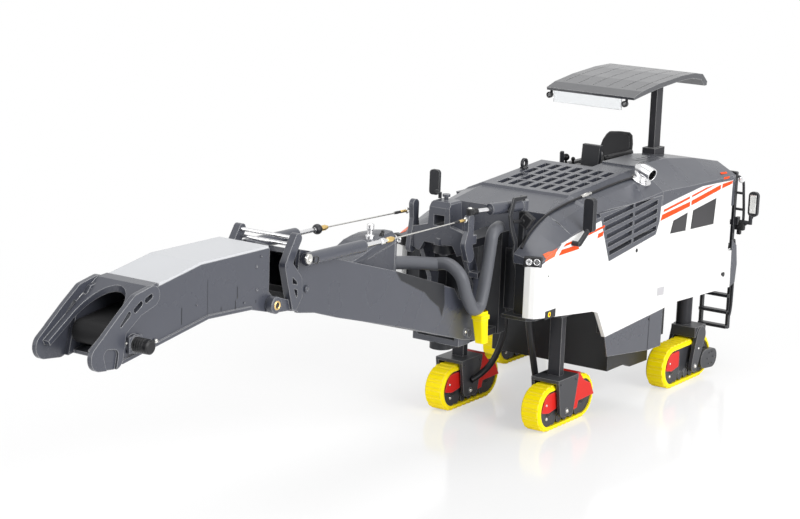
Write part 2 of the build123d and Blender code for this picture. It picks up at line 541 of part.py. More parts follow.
for name, x, y, post_x, post_y, out in LEGS:
    front_leg = name.startswith("front")
    with BuildPart() as column:
        if front_leg:
            block((post_x - COLUMN_X / 2, post_x + COLUMN_X / 2), (post_y - COLUMN_Y / 2, post_y + COLUMN_Y / 2),
                  (YOKE_TOP, COLUMN_TOP))
            rod((post_x, post_y, YOKE_TOP - YOKE_PLATE), (post_x, post_y, YOKE_TOP), SPIGOT)
        else:
            rod((post_x, post_y, KNUCKLE_TOP), (post_x, post_y, COLUMN_TOP), REAR_LEG_R)
            rod((post_x, post_y, KNUCKLE_LOW), (post_x, post_y, KNUCKLE_TOP), SPIGOT)
    column.part.label = "column_" + name
    export_step(column.part, "parts/column_" + name + ".step")

    with BuildPart() as track:
        with BuildSketch(side(y + TRACK_WIDTH / 2)) as band:
            with Locations((x, AXLE_Z)):
                SlotCenterToCenter(2 * RUN_HALF, 2 * (AXLE_Z - BAR))
        extrude(band.sketch, amount=TRACK_WIDTH)
        chamfer(track.faces().filter_by(Axis.Y).edges(), SHOULDER_CUT)
        outline = band_outline(AXLE_Z - BAR, RUN_HALF, BAR, SHOES)
        bars = [(x + u, AXLE_Z + v) for u, v in outline]
        plate(bars, y + TRACK_WIDTH / 2 - BAR_SHORT, TRACK_WIDTH - 2 * BAR_SHORT)
        with BuildSketch(side(y + TRACK_WIDTH)) as hollow:
            with Locations((x, AXLE_Z)):
                SlotCenterToCenter(2 * RUN_HALF, 2 * INNER_R)
        extrude(hollow.sketch, amount=2 * TRACK_WIDTH, mode=Mode.SUBTRACT)
    track.part.label = "track_" + name
    export_step(track.part, "parts/track_" + name + ".step")

    with BuildPart() as undercarriage:
        block((x - RUN_HALF, x + RUN_HALF), (y - 1.9, y + 1.9), (AXLE_Z - 2.6, AXLE_Z + INNER_R - 0.05))
        for wheel in (-RUN_HALF, RUN_HALF):
            rod((x + wheel, y - WHEEL_HALF, AXLE_Z), (x + wheel, y + WHEEL_HALF, AXLE_Z), INNER_R - 0.05)
        for roller in range(5):
            middle = x - RUN_HALF + 2.0 + 2.9 * roller
            rod((middle, y - WHEEL_HALF, 2.4), (middle, y + WHEEL_HALF, 2.4), 1.15)
        if front_leg:
            block((x - YOKE_BACK, x + YOKE_FRONT), (y - 3.8, y + 3.8), (YOKE_TOP - YOKE_PLATE, YOKE_TOP))
            for hand in (-1, 1):
                near = y + hand * 3.4 + 0.4
                rounded([(x - YOKE_BACK + 0.3, YOKE_TOP - 0.5, 0.3), (x + YOKE_FRONT - 0.3, YOKE_TOP - 0.5, 0.3),
                         (x + 3.6, 4.4, 1.5), (x + 0.2, 4.2, 1.5)], near, YOKE_PLATE)
            rod((x + 2.2, y - 3.9, 4.2), (x + 2.2, y + 3.9, 4.2), 0.7)
            rod((post_x, post_y, YOKE_TOP - 1.0), (post_x, post_y, YOKE_TOP), SPIGOT + FIT, Mode.SUBTRACT)
        else:
            block((post_x - 3.0, post_x + 3.0), (y - 3.4, y + 3.4), (KNUCKLE_LOW, KNUCKLE_TOP))
            for hand in (-1, 1):
                near = y + hand * 3.4 + 0.5
                limb([(post_x, KNUCKLE_TOP - 2.4, 2.3), (x + ARM_BOLT_X - 1.2, 7.6, 2.0),
                      (x + ARM_BOLT_X, 4.2, 1.6)], near, 1.0)
            rod((x + ARM_BOLT_X, y - 4.0, 4.2), (x + ARM_BOLT_X, y + 4.0, 4.2), 0.7)
            rod((post_x, post_y, KNUCKLE_LOW), (post_x, post_y, KNUCKLE_TOP), SPIGOT + FIT, Mode.SUBTRACT)
            # drive motor beside the rear wheel
            rounded([(x - RUN_HALF + 0.2, AXLE_Z - 0.6, 2.5), (x - RUN_HALF - 4.0, AXLE_Z - 1.0, 2.5)],
                    y + out * 3.35 + 0.65, 1.3)
            rod((x - RUN_HALF, y + out * 2.0, AXLE_Z), (x - RUN_HALF, y + out * 2.8, AXLE_Z), 1.6)
    undercarriage.part.label = "undercarriage_" + name
    export_step(undercarriage.part, "parts/undercarriage_" + name + ".step")

    with BuildPart() as guards:
        cover = [(x + 5.2, 5.6, 0.4), (x + 11.2, 5.6, 0.4), (x + 8.5, 7.0, 2.3), (x + 5.2, 8.9, 0.4)]
        rounded(cover, y + WHEEL_HALF + 0.4, 0.4)
        rounded(cover, y - WHEEL_HALF, 0.4)
        if front_leg:
            fender = [(x - YOKE_BACK, 11.5), (x - 5.4, 11.5), (x - 7.4, 9.6), (x - 10.6, 8.3), (x - 12.4, 5.2),
                      (x - 4.8, 5.0), (x - 4.4, 3.4), (x - 1.6, 3.2), (x - YOKE_BACK, 7.0)]
            for near in (y + 3.0, y - 2.65):
                plate(fender, near, 0.35)
            block((x - 5.4, x - YOKE_BACK), (y - 3.0, y + 3.0), (YOKE_TOP - YOKE_PLATE, YOKE_TOP - 0.2))
    guards.part.label = "guards_" + name
    export_step(guards.part, "parts/guards_" + name + ".step")

with BuildPart() as swing_arm:
    rod((SWING_X, SWING_Y, 22.0), (SWING_X, SWING_Y, 42.6), 3.0)
    block((-66.0, SWING_X), (SWING_Y - 2.0, SWING_Y + 2.0), (22.0, 25.4))
    # the arm dips under the side panel's bottom edge to reach the frame
    block((-68.0, -63.0), (SWING_Y - 2.0, -20.6), (17.0, 25.4))
    block((-68.0, -63.0), (SWING_Y - 2.0, -14.0), (17.0, 20.6))
    block((-68.0, -63.0), (-18.6, -14.0), (17.0, 26.0))
    rod((SWING_X, SWING_Y, 21.0), (SWING_X, SWING_Y, 41.6), REAR_LEG_R + SLEEVE, Mode.SUBTRACT)
swing_arm.part.label = "swing_arm"
export_step(swing_arm.part, "parts/swing_arm.step")

# ---------------------------------------------------------------- turning yoke

LUG_OUT, LUG_IN = 6.2, 5.1
BEAM_HALF = 8.2
BEAM_BACK, BEAM_FRONT = 31.6, 34.7
ARM_THICK = 1.2
# limbs of the yoke, (forward, up, radius): from the beam to the luffing pin, and the arms beside the tower
LUG = [(33.0, 48.6, 1.6), (30.2, 43.8, 1.7), (27.5, 38.2, 1.5), (28.0, 32.6, 1.5), (SLEW_X, LUFF_Z, 2.4)]
ARM_LEFT = [(34.1, 54.0, 1.2), (34.1, 51.2, 1.2), (34.9, 48.4, 1.5), (33.8, 45.6, 1.4)]
ARM_RIGHT = [(33.6, 55.4, 1.2), (33.4, 52.2, 1.0), (33.4, 49.0, 1.6), (34.4, 45.6, 1.2)]

with BuildPart() as slew_yoke:
    rod((SLEW_X, 0, TONGUE_HIGH[1] + FIT), (SLEW_X, 0, TONGUE_HIGH[1] + 1.6), 3.0)
    rod((SLEW_X, 0, TONGUE_HIGH[0] - 0.6), (SLEW_X, 0, TONGUE_HIGH[1] + 1.0), KING_PIN)
    rod((SLEW_X, 0, TONGUE_LOW[0] - 0.4), (SLEW_X, 0, TONGUE_LOW[1] + 1.0), KING_PIN)
    block((29.4, 34.2), (-LUG_OUT, LUG_OUT), (TONGUE_LOW[1] + FIT, TONGUE_LOW[1] + 1.4))
    # tower with its window and the knob on top
    front([(-3.5, 48.2), (3.5, 48.2), (2.9, 53.0), (2.6, 56.6), (2.2, 57.0), (-2.2, 57.0), (-2.6, 56.6),
           (-2.9, 53.0)], 29.6, BEAM_FRONT - 29.6)
    plate([(33.7, 57.2), (BEAM_FRONT + 0.2, 57.2), (BEAM_FRONT + 0.2, 55.4)], 4.0, 8.0, Mode.SUBTRACT)
    block((28.0, 36.0), (-1.4, 1.4), (51.6, 54.0), Mode.SUBTRACT)
    rod((32.0, 0.0, 56.9), (32.0, 0.0, 58.0), 0.5)
    rod((32.0, 0.0, 57.9), (32.0, 0.0, 58.5), 0.9)
    # clip that carries the dust pipe
    block((28.6, 30.8), (LUG_OUT - 0.2, PIPE_Y - PIPE_R - FIT), (40.0, 41.2))
    # beam between the arms, with its arched front web
    block((BEAM_BACK, BEAM_FRONT), (-BEAM_HALF, BEAM_HALF), (48.2, 50.2))
    front([(-BEAM_HALF, 50.2), (-3.4, 51.6), (3.4, 51.6), (BEAM_HALF, 50.2), (BEAM_HALF, 46.4), (LUG_IN, 45.2),
           (3.8, 47.4), (-3.8, 47.4), (-LUG_IN, 45.2), (-BEAM_HALF, 46.4)], BEAM_FRONT - 1.4, 1.4)
    for hand, arm in ((1, ARM_LEFT), (-1, ARM_RIGHT)):
        near = hand * (LUG_OUT + LUG_IN) / 2 + (LUG_OUT - LUG_IN) / 2
        limb(LUG, near, LUG_OUT - LUG_IN)
        block((29.4, 34.2), (near - LUG_OUT + LUG_IN, near), (TONGUE_LOW[1] + FIT, LUFF_Z))
        limb(arm, hand * (BEAM_HALF - ARM_THICK / 2) + ARM_THICK / 2, ARM_THICK)
        rod((SLEW_X, hand * 4.0, LUFF_Z), (SLEW_X, hand * 7.0, LUFF_Z), 1.0 + FIT, Mode.SUBTRACT)
    # flat seat of the turning cylinder's eye
    block((30.0, 38.0), (6.0, BEAM_HALF + 1.0), (POST_TOP, POST_TOP + 3.0), Mode.SUBTRACT)
slew_yoke.part.label = "slew_yoke"
export_step(slew_yoke.part, "parts/slew_yoke.step")

# ---------------------------------------------------------------- conveyor, rear section

# side plate of the rear section, (forward, up)
REAR_PLATE = [
    (27.8, 24.9), (27.6, 29.0), (28.5, 33.1), (36.5, 36.2), (38.4, 38.8), (61.0, 46.5), (84.4, 53.2),
    (94.6, 56.6), (97.4, 57.3), (98.2, 52.0), (97.6, 44.2), (92.0, 43.2), (83.7, 40.6), (58.8, 33.7), (34.3, 26.2),
]
# open frame at its end, (forward, up, radius): struts from the head that holds the cross rods
FRAME_HEAD = (98.9, 59.8, 1.1)
FRAME_KNEE = (102.0, 54.8, 1.2)
FRAME_FOOT = (99.6, 46.2, 1.0)
FRAME = [
    [FRAME_HEAD, (100.6, 57.3, 1.1), FRAME_KNEE, (101.3, 50.6, 0.7), FRAME_FOOT],
    [FRAME_KNEE, (98.3, 51.4, 0.8), (98.0, 47.8, 0.8), FRAME_FOOT],
    [(101.3, 50.6, 0.5), (98.0, 49.6, 0.5)],
]
# lug that carries the folding pin
FOLD_LUG = [(96.4, 46.2, 1.9), (101.0, 46.4, 1.1), (FOLD_X, FOLD_Z, 1.7)]
FRAME_OUT = 0.7

with BuildPart() as conveyor_rear:
    for hand, near in ((1, PLATE_Y), (-1, -PLATE_Y + CHEEK)):
        plate(REAR_PLATE, near, CHEEK)
        limb(FOLD_LUG, near, CHEEK)
        for strut in FRAME:
            limb(strut, near + FRAME_OUT * (hand > 0), CHEEK + FRAME_OUT)
    # floor and deck between the side plates
    plate([(37.0, 27.0), (92.0, 43.2), (91.8, 44.0), (36.8, 27.8)], PLATE_Y - CHEEK, 2 * (PLATE_Y - CHEEK))
    plate([(40.0, 39.0), (94.6, 56.3), (94.9, 55.3), (40.3, 38.0)], PLATE_Y - CHEEK, 2 * (PLATE_Y - CHEEK))
    rod((SLEW_X, -PLATE_Y - 0.4, LUFF_Z), (SLEW_X, PLATE_Y + 0.4, LUFF_Z), 1.0)
    for hand in (-1, 1):
        rod((FOLD_X, hand * (PLATE_Y + 0.1), FOLD_Z), (FOLD_X, hand * (PLATE_Y - CHEEK - 0.1), FOLD_Z),
            1.0 + FIT, Mode.SUBTRACT)
        rod((PIVOT_X, hand * (PLATE_Y - 0.3), PIVOT_Z), (PIVOT_X, hand * 10.2, PIVOT_Z), 0.6)
conveyor_rear.part.label = "conveyor_rear"
export_step(conveyor_rear.part, "parts/conveyor_rear.step")

with BuildPart() as cross_rods:
    for forward, height in ((99.3, 59.9), (98.7, 58.3)):
        rod((forward, -PLATE_Y + CHEEK, height), (forward, PLATE_Y - CHEEK, height), 0.4)
cross_rods.part.label = "cross_rods"
export_step(cross_rods.part, "parts/cross_rods.step")

with BuildPart() as transfer_hood:
    plate([(41.6, 39.52), (41.6, 51.4), (43.0, 53.0), (52.0, 54.4), (60.0, 53.8), (67.0, 51.2), (73.6, 49.66)],
          1.0, 7.3)
    with BuildSketch(face(40.0)) as slant:
        with BuildLine():
            Polyline((1.2, 40.0), (1.2, 55.0), (-2.2, 55.0), close=True)
        make_face()
    extrude(slant.sketch, amount=40.0, mode=Mode.SUBTRACT)
transfer_hood.part.label = "transfer_hood"
export_step(transfer_hood.part, "parts/transfer_hood.step")

BELT = 5.0
MOUTH_X, MOUTH_LONG, MOUTH_HALF = 151.6, 7.4, 4.8
with BuildPart() as belt_rear:
    plate([(37.4, 30.0), (38.0, 28.9), (99.2, 47.3), (99.8, 48.4), (99.2, 49.6), (38.0, 31.2)], BELT, 2 * BELT)
    for hand in (-1, 1):
        rod((38.6, hand * (PLATE_Y - CHEEK), 30.1), (38.6, hand * 4.0, 30.1), 0.6)
        rod((98.6, hand * (PLATE_Y - CHEEK), 48.3), (98.6, hand * 4.0, 48.3), 0.6)
belt_rear.part.label = "belt_rear"
export_step(belt_rear.part, "parts/belt_rear.step")

# ---------------------------------------------------------------- conveyor, folding front section

FRONT_Y = PLATE_Y - CHEEK - 0.1
LIP = 0.35
# side plate of the front section, (forward, up)
FRONT_PLATE = [
    (106.2, 58.9), (127.7, 59.1), (140.2, 57.1), (146.0, 56.4), (150.0, 52.0), (152.3, 44.2), (125.6, 48.2),
    (113.0, 47.6), (107.0, 46.0), (105.8, 45.8), (104.6, 46.3), (104.4, 48.2), (106.2, 50.0),
]

with BuildPart() as conveyor_front:
    for near in (FRONT_Y, -FRONT_Y + CHEEK):
        plate(FRONT_PLATE, near, CHEEK)
    # floor, standing out as a lip along the bottom of both side plates
    plate([(112.0, 47.4), (125.6, 48.1), (150.6, 44.3), (150.7, 45.0), (125.6, 48.8), (112.0, 48.1)],
          FRONT_Y + LIP, 2 * (FRONT_Y + LIP))
    for hand in (-1, 1):
        rod((FOLD_X, hand * (FRONT_Y - CHEEK), FOLD_Z), (FOLD_X, hand * (PLATE_Y + 0.5), FOLD_Z), 1.0)
    rod((147.6, FRONT_Y, 47.6), (147.6, FRONT_Y + 0.8, 47.6), 1.8)
    rod((147.6, FRONT_Y, 47.6), (147.6, PLATE_Y + 3.4, 47.6), 1.35)
conveyor_front.part.label = "conveyor_front"
export_step(conveyor_front.part, "parts/conveyor_front.step")

with BuildPart() as conveyor_roof:
    plate([(106.6, 58.904), (127.7, 59.1), (140.2, 57.1), (140.3, 57.6), (127.8, 59.6), (106.6, 59.4)],
          FRONT_Y, 2 * FRONT_Y)
conveyor_roof.part.label = "conveyor_roof"
export_step(conveyor_roof.part, "parts/conveyor_roof.step")

# nose cheek, (forward, up, radius): the band along its upper edge, the broad tip, its slots and its pocket
CHEEK_BAND = [(143.0, 55.8, 2.0), (147.2, 54.8, 2.2), (151.4, 52.0, 2.1), (155.2, 49.0, 2.2)]
CHEEK_TIP = [(NOSE_X - 2.5, 46.9, 2.5), (153.4, 46.1, 2.2), (152.6, 50.8, 2.2)]
CHEEK_SLOTS = [
    [(151.9, 51.8, 0.25), (149.7, 53.6, 0.5)],
    [(147.9, 54.1, 0.55), (146.4, 55.0, 0.5)],
    [(144.8, 55.4, 0.55), (143.5, 55.9, 0.45)],
]
CHEEK_POCKET = [(155.4, 46.9, 1.2), (153.8, 46.6, 1.2), (154.4, 44.0, 1.3)]
NOSE_THICK = 1.0

with BuildPart() as nose:
    for near in (PLATE_Y, -FRONT_Y):
        limb(CHEEK_BAND, near, NOSE_THICK)
        rounded(CHEEK_TIP, near, NOSE_THICK)
        for slot in CHEEK_SLOTS:
            limb(slot, near, NOSE_THICK, Mode.SUBTRACT)
    rounded(CHEEK_POCKET, PLATE_Y, NOSE_THICK / 2, Mode.SUBTRACT)
    rounded(CHEEK_POCKET, -PLATE_Y + NOSE_THICK / 2, NOSE_THICK / 2, Mode.SUBTRACT)
    # sloping brow over the mouth, with a ledge down to the tip on each side
    plate([(140.3, 57.1), (140.6, 57.8), (143.2, 57.6), (158.2, 48.1), (157.7, 47.2), (143.0, 56.4)],
          FRONT_Y, 2 * FRONT_Y)
    plate(FRONT_PLATE, FRONT_Y, CHEEK, Mode.SUBTRACT)
    plate(FRONT_PLATE, -FRONT_Y + CHEEK, CHEEK, Mode.SUBTRACT)
    with BuildSketch(top(60.0)) as mouth:
        with Locations((MOUTH_X, 0.0)):
            Ellipse(MOUTH_LONG, MOUTH_HALF)
            Rectangle(MOUTH_LONG + 2.0, 2 * MOUTH_HALF, align=(Align.MIN, Align.CENTER))
    extrude(mouth.sketch, amount=-20.0, mode=Mode.SUBTRACT)
nose.part.label = "nose"
export_step(nose.part, "parts/nose.step")

with BuildPart() as belt_front:
    rod((149.4, -BELT, 48.6), (149.4, BELT, 48.6), 2.3)
    for forward, height in ((149.4, 48.6), (111.6, 51.7)):
        rod((forward, -FRONT_Y + CHEEK, height), (forward, FRONT_Y - CHEEK, height), 0.8)
    plate([(110.0, 50.4), (125.6, 51.0), (149.2, 46.4), (149.8, 50.8), (126.0, 53.6), (110.0, 53.0)], BELT, 2 * BELT)
belt_front.part.label = "belt_front"
export_step(belt_front.part, "parts/belt_front.step")

# ---------------------------------------------------------------- cylinders

# lifting cylinders: pivot on the conveyor, eye beside the yoke's post, fall of the line between them
FALL = (PIVOT_Z - EYE_Z) / (PIVOT_X - EYE_X)


def on_line(x, hand, y=CYLINDER_Y):
    """Place on a lifting cylinder's line at distance x."""
    return (x, hand * y, PIVOT_Z - FALL * (PIVOT_X - x))


with BuildPart() as luff_barrels:
    for hand in (-1, 1):
        rod(on_line(97.4, hand), on_line(77.6, hand), 1.35)
        rod((PIVOT_X, hand * 7.0, PIVOT_Z), (PIVOT_X, hand * 10.4, PIVOT_Z), 0.6 + FIT, Mode.SUBTRACT)
        rod(on_line(90.0, hand), on_line(76.0, hand), 0.6 + FIT, Mode.SUBTRACT)
luff_barrels.part.label = "luff_barrels"
export_step(luff_barrels.part, "parts/luff_barrels.step")

with BuildPart() as luff_rods:
    for hand in (-1, 1):
        rod(on_line(84.0, hand), on_line(69.8, hand), 0.6)
        rod(on_line(70.4, hand), on_line(67.4, hand), 0.9)
        rod(on_line(67.8, hand), on_line(EYE_X, hand, 7.8), 0.3)
        rod((EYE_X, hand * 7.0, EYE_Z), (EYE_X, hand * 8.4, EYE_Z), 0.45)
luff_rods.part.label = "luff_rods"
export_step(luff_rods.part, "parts/luff_rods.step")

# turning cylinder: places along it are counted from its foot towards its eye
SLEW_REACH = hypot(SLEW_EYE_X - SLEW_FOOT_X, SLEW_EYE_Y - SLEW_FOOT_Y)
SLEW_BARREL, SLEW_ROD_IN = 10.2, 6.4


def along(reach):
    """Place on the turning cylinder's line, reach from its foot."""
    share = reach / SLEW_REACH
    return (SLEW_FOOT_X + share * (SLEW_EYE_X - SLEW_FOOT_X),
            SLEW_FOOT_Y + share * (SLEW_EYE_Y - SLEW_FOOT_Y), SLEW_CYL_Z)


with BuildPart() as slew_barrel:
    rod(along(0.8), along(SLEW_BARREL), 1.35)
    rod((SLEW_FOOT_X, SLEW_FOOT_Y, SLEW_CYL_Z - 1.2), (SLEW_FOOT_X, SLEW_FOOT_Y, SLEW_CYL_Z + 1.2), 1.3)
    rod((SLEW_FOOT_X, SLEW_FOOT_Y, 53.0), (SLEW_FOOT_X, SLEW_FOOT_Y, 58.0), 0.5 + FIT, Mode.SUBTRACT)
    rod(along(1.6), along(SLEW_BARREL + 1.0), 0.5 + FIT, Mode.SUBTRACT)
slew_barrel.part.label = "slew_barrel"
export_step(slew_barrel.part, "parts/slew_barrel.step")

with BuildPart() as slew_rod:
    rod(along(SLEW_ROD_IN), along(SLEW_REACH), 0.5)
    rod((SLEW_EYE_X, SLEW_EYE_Y, POST_TOP + 0.1), (SLEW_EYE_X, SLEW_EYE_Y, POST_TOP + 1.4), 0.9)
slew_rod.part.label = "slew_rod"
export_step(slew_rod.part, "parts/slew_rod.step")

# ---------------------------------------------------------------- dust pipe

with BuildPart() as dust_pipe:
    hose(PIPE, PIPE_R)
dust_pipe.part.label = "dust_pipe"
export_step(dust_pipe.part, "parts/dust_pipe.step")

with BuildPart() as tower_mirror:
    glass(29.2, (-6.0, -3.4), (57.4, 63.2), 0.8, 0.8)
    rod((30.6, -2.6, 57.0), (30.6, -2.6, 58.4), 0.4)
    rod((30.6, -2.6, 58.0), (29.6, -4.4, 58.4), 0.4)
tower_mirror.part.label = "tower_mirror"
export_step(tower_mirror.part, "parts/tower_mirror.step")

with BuildPart() as chute:
    for low, high, wide in ((31.0, 31.9, 3.3), (30.6, 31.0, 2.9)):
        pad((CHUTE_X - wide / 2, CHUTE_X + wide / 2), (PIPE_Y - wide / 2, PIPE_Y + wide / 2), (low, high), 0.6)
    ends = []
    for height, shift, wide in ((30.6, 0.0, 2.8), (25.2, -0.9, 2.3)):
        with BuildSketch(top(height)) as cut:
            with Locations((CHUTE_X + shift, PIPE_Y)):
                RectangleRounded(wide, wide, 0.5)
        ends.append(cut.sketch)
    loft(ends, ruled=True)
chute.part.label = "chute"
export_step(chute.part, "parts/chute.step")
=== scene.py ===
import json
import logging
import math
from collections.abc import Iterable
from dataclasses import dataclass, field
from enum import Enum

import bmesh
import bpy
from mathutils import Matrix, Vector


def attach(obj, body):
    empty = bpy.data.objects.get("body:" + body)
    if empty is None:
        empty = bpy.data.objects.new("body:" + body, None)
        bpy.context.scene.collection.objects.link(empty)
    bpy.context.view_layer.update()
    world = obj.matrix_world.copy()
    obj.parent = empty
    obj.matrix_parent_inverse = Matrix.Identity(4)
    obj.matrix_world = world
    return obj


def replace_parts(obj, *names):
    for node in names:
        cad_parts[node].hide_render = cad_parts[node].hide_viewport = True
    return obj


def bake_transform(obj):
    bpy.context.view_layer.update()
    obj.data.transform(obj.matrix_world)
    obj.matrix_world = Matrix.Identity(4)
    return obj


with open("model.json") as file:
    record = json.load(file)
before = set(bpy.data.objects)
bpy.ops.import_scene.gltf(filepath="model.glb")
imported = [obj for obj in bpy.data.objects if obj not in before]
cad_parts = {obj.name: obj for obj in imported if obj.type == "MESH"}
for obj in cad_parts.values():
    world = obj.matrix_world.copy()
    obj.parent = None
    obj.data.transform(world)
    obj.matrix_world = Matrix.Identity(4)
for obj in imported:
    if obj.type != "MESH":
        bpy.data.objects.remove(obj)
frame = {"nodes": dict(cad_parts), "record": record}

LOG = logging.getLogger("planer_model")
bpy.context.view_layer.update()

# the model's places are measured in millimetres from the front track centre; this moves them to the frame
DATUM = Vector((-39.3, 1.85, 0.0))
MM = 0.001
LEGS = ("front_left", "front_right", "rear_left", "rear_right")
LEFT = (0.0, 1.0, 0.0)
UP = (0.0, 0.0, 1.0)

Place = tuple[float, float, float]
Profile = list[tuple[float, float]]


def spot(x: float, y: float, z: float) -> Vector:
    """Gives a place of the model, in millimetres from the front track centre, as metres in the frame."""
    return (Vector((x, y, z)) + DATUM) * MM


# ---- finishes


class Surface(Enum):
    """Kinds of surface that the model shows."""

    PAINT = "paint"
    MOULDED = "moulded"
    METAL = "metal"
    RUBBER = "rubber"
    CLEAR = "clear"


class GroupName(Enum):
    """Shared effects, each one shader node group."""

    GRAIN = "moulded_grain"
    # outer edges lightened as worn paint and as a painted highlight
    EDGES = "worn_and_highlit_edges"
    DUST = "settled_dust"


class Tree:
    """A shader node tree, with short calls that add and join its nodes."""

    def __init__(self, tree: bpy.types.NodeTree) -> None:
        """Takes the tree to fill."""
        self.tree = tree
        self.nodes = tree.nodes

    @classmethod
    def group(cls, name: GroupName, inputs: dict[str, float], outputs: dict[str, str]) -> "Tree":
        """Makes an empty shader node group with its sockets.

        Args:
            name: The group's name.
            inputs: Start value of each input, by name.
            outputs: Kind of each output, by name.

        Returns:
            The group's tree, with its nodes "in" and "out".
        """
        made = bpy.data.node_groups.new(name.value, "ShaderNodeTree")
        for label, value in inputs.items():
            socket = made.interface.new_socket(label, in_out="INPUT", socket_type="NodeSocketFloat")
            socket.default_value = value
        for label, kind in outputs.items():
            made.interface.new_socket(label, in_out="OUTPUT", socket_type="NodeSocket" + kind)
        made.nodes.new("NodeGroupInput").name = "in"
        made.nodes.new("NodeGroupOutput").name = "out"
        return cls(made)

    def add(self, kind: str, operation: str | None = None, **values: object) -> bpy.types.Node:
        """Adds a node.

        Args:
            kind: Its type, without the leading ShaderNode.
            operation: What a maths node works out.
            values: Values of its inputs by name, with _ for a space.

        Returns:
            The new node.
        """
        node = self.nodes.new("ShaderNode" + kind)
        if operation:
            node.operation = operation
        return self.tune(node, **values)

    @staticmethod
    def tune(node: bpy.types.Node, **values: object) -> bpy.types.Node:
        """Sets a node's inputs by name, with _ for a space, and gives the node back.

        Args:
            node: The node to set.
            values: The inputs' values by name.

        Returns:
            The same node.
        """
        for label, value in values.items():
            node.inputs[label.replace("_", " ")].default_value = value
        return node

    def effect(self, name: GroupName, **values: float) -> bpy.types.Node:
        """Adds a shared effect with its own values.

        Args:
            name: Which effect.
            values: The inputs' values by name.

        Returns:
            The node that holds the effect.
        """
        node = self.add("Group")
        node.node_tree = Groups.get(name)
        return self.tune(node, **values)

    def mix(self, first: object, second: object, factor: object) -> bpy.types.NodeSocket:
        """Mixes two colours, each a socket or a value.

        Args:
            first: The colour at a factor of 0.
            second: The colour at a factor of 1.
            factor: The share of the second, a socket or a number.

        Returns:
            The mixed colour's socket.
        """
        node = self.add("Mix")
        node.data_type = "RGBA"
        for socket, source in ((node.inputs[6], first), (node.inputs[7], second), (node.inputs[0], factor)):
            if isinstance(source, bpy.types.NodeSocket):
                self.tree.links.new(source, socket)
            else:
                socket.default_value = (*source, 1.0) if isinstance(source, tuple) else source
        return node.outputs[2]

    def join(self, *links: tuple[bpy.types.Node, str, bpy.types.Node, int | str]) -> None:
        """Joins nodes; each link is (node, its output, next node, its input)."""
        for source, output, target, entry in links:
            self.tree.links.new(source.outputs[output], target.inputs[entry])


class Groups:
    """Builds each shared effect once."""

    _made: dict[GroupName, bpy.types.NodeTree] = {}

    @classmethod
    def get(cls, name: GroupName) -> bpy.types.NodeTree:
        """Gives a shared effect, and builds it the first time.

        Args:
            name: Which effect.

        Returns:
            The effect's node tree.
        """
        if name not in cls._made:
            builds = {GroupName.GRAIN: cls._grain, GroupName.EDGES: cls._edges, GroupName.DUST: cls._dust}
            cls._made[name] = builds[name]().tree
        return cls._made[name]

    @staticmethod
    def _grain() -> Tree:
        """Fine grain of a moulded or sprayed skin, with a slow mottle beside it.

        Returns:
            The group's tree, with the outputs Height and Mottle.
        """
        scales = {"Fine Scale": 3000.0, "Slow Scale": 60.0}
        group = Tree.group(GroupName.GRAIN, scales, {"Height": "Float", "Mottle": "Float"})
        place = group.add("TexCoord")
        fine = group.add("TexNoise", Detail=2.0)
        slow = group.add("TexNoise", Detail=4.0)
        start, end = group.nodes["in"], group.nodes["out"]
        group.join(
            (place, "Object", fine, "Vector"), (place, "Object", slow, "Vector"),
            (start, "Fine Scale", fine, "Scale"), (start, "Slow Scale", slow, "Scale"),
            (fine, "Fac", end, "Height"), (slow, "Fac", end, "Mottle"),
        )
        return group

    @staticmethod
    def _edges() -> Tree:
        """Rounded normal and a mask of the outer edges, which the finishes lighten as worn paint and as a
        painted highlight.

        Returns:
            The group's tree, with the outputs Mask and Normal.
        """
        group = Tree.group(GroupName.EDGES, {"Radius": 0.0002}, {"Mask": "Float", "Normal": "Vector"})
        bevel = group.add("Bevel")
        bevel.samples = 6
        shape = group.add("NewGeometry")
        dot = group.add("VectorMath", "DOT_PRODUCT")
        spread = group.add("MapRange", From_Min=0.999, From_Max=0.86)
        start, end = group.nodes["in"], group.nodes["out"]
        group.join(
            (start, "Radius", bevel, "Radius"), (bevel, "Normal", dot, 0), (shape, "Normal", dot, 1),
            (dot, "Value", spread, "Value"), (spread, "Result", end, "Mask"),
            (bevel, "Normal", end, "Normal"),
        )
        return group

    @staticmethod
    def _dust() -> Tree:
        """Thin dust on faces that look up, broken by a slow noise.

        Returns:
            The group's tree, with the output Mask.
        """
        group = Tree.group(GroupName.DUST, {"Amount": 0.1, "Scale": 220.0}, {"Mask": "Float"})
        place = group.add("TexCoord")
        shape = group.add("NewGeometry")
        up = group.add("SeparateXYZ")
        cloud = group.add("TexNoise", Detail=5.0)
        lie = group.add("MapRange", From_Min=0.3)
        both = group.add("Math", "MULTIPLY")
        share = group.add("Math", "MULTIPLY")
        start, end = group.nodes["in"], group.nodes["out"]
        group.join(
            (place, "Object", cloud, "Vector"), (start, "Scale", cloud, "Scale"),
            (shape, "Normal", up, "Vector"), (up, "Z", lie, "Value"), (lie, "Result", both, 0),
            (cloud, "Fac", both, 1), (both, "Value", share, 0), (start, "Amount", share, 1),
            (share, "Value", end, "Mask"),
        )
        return group


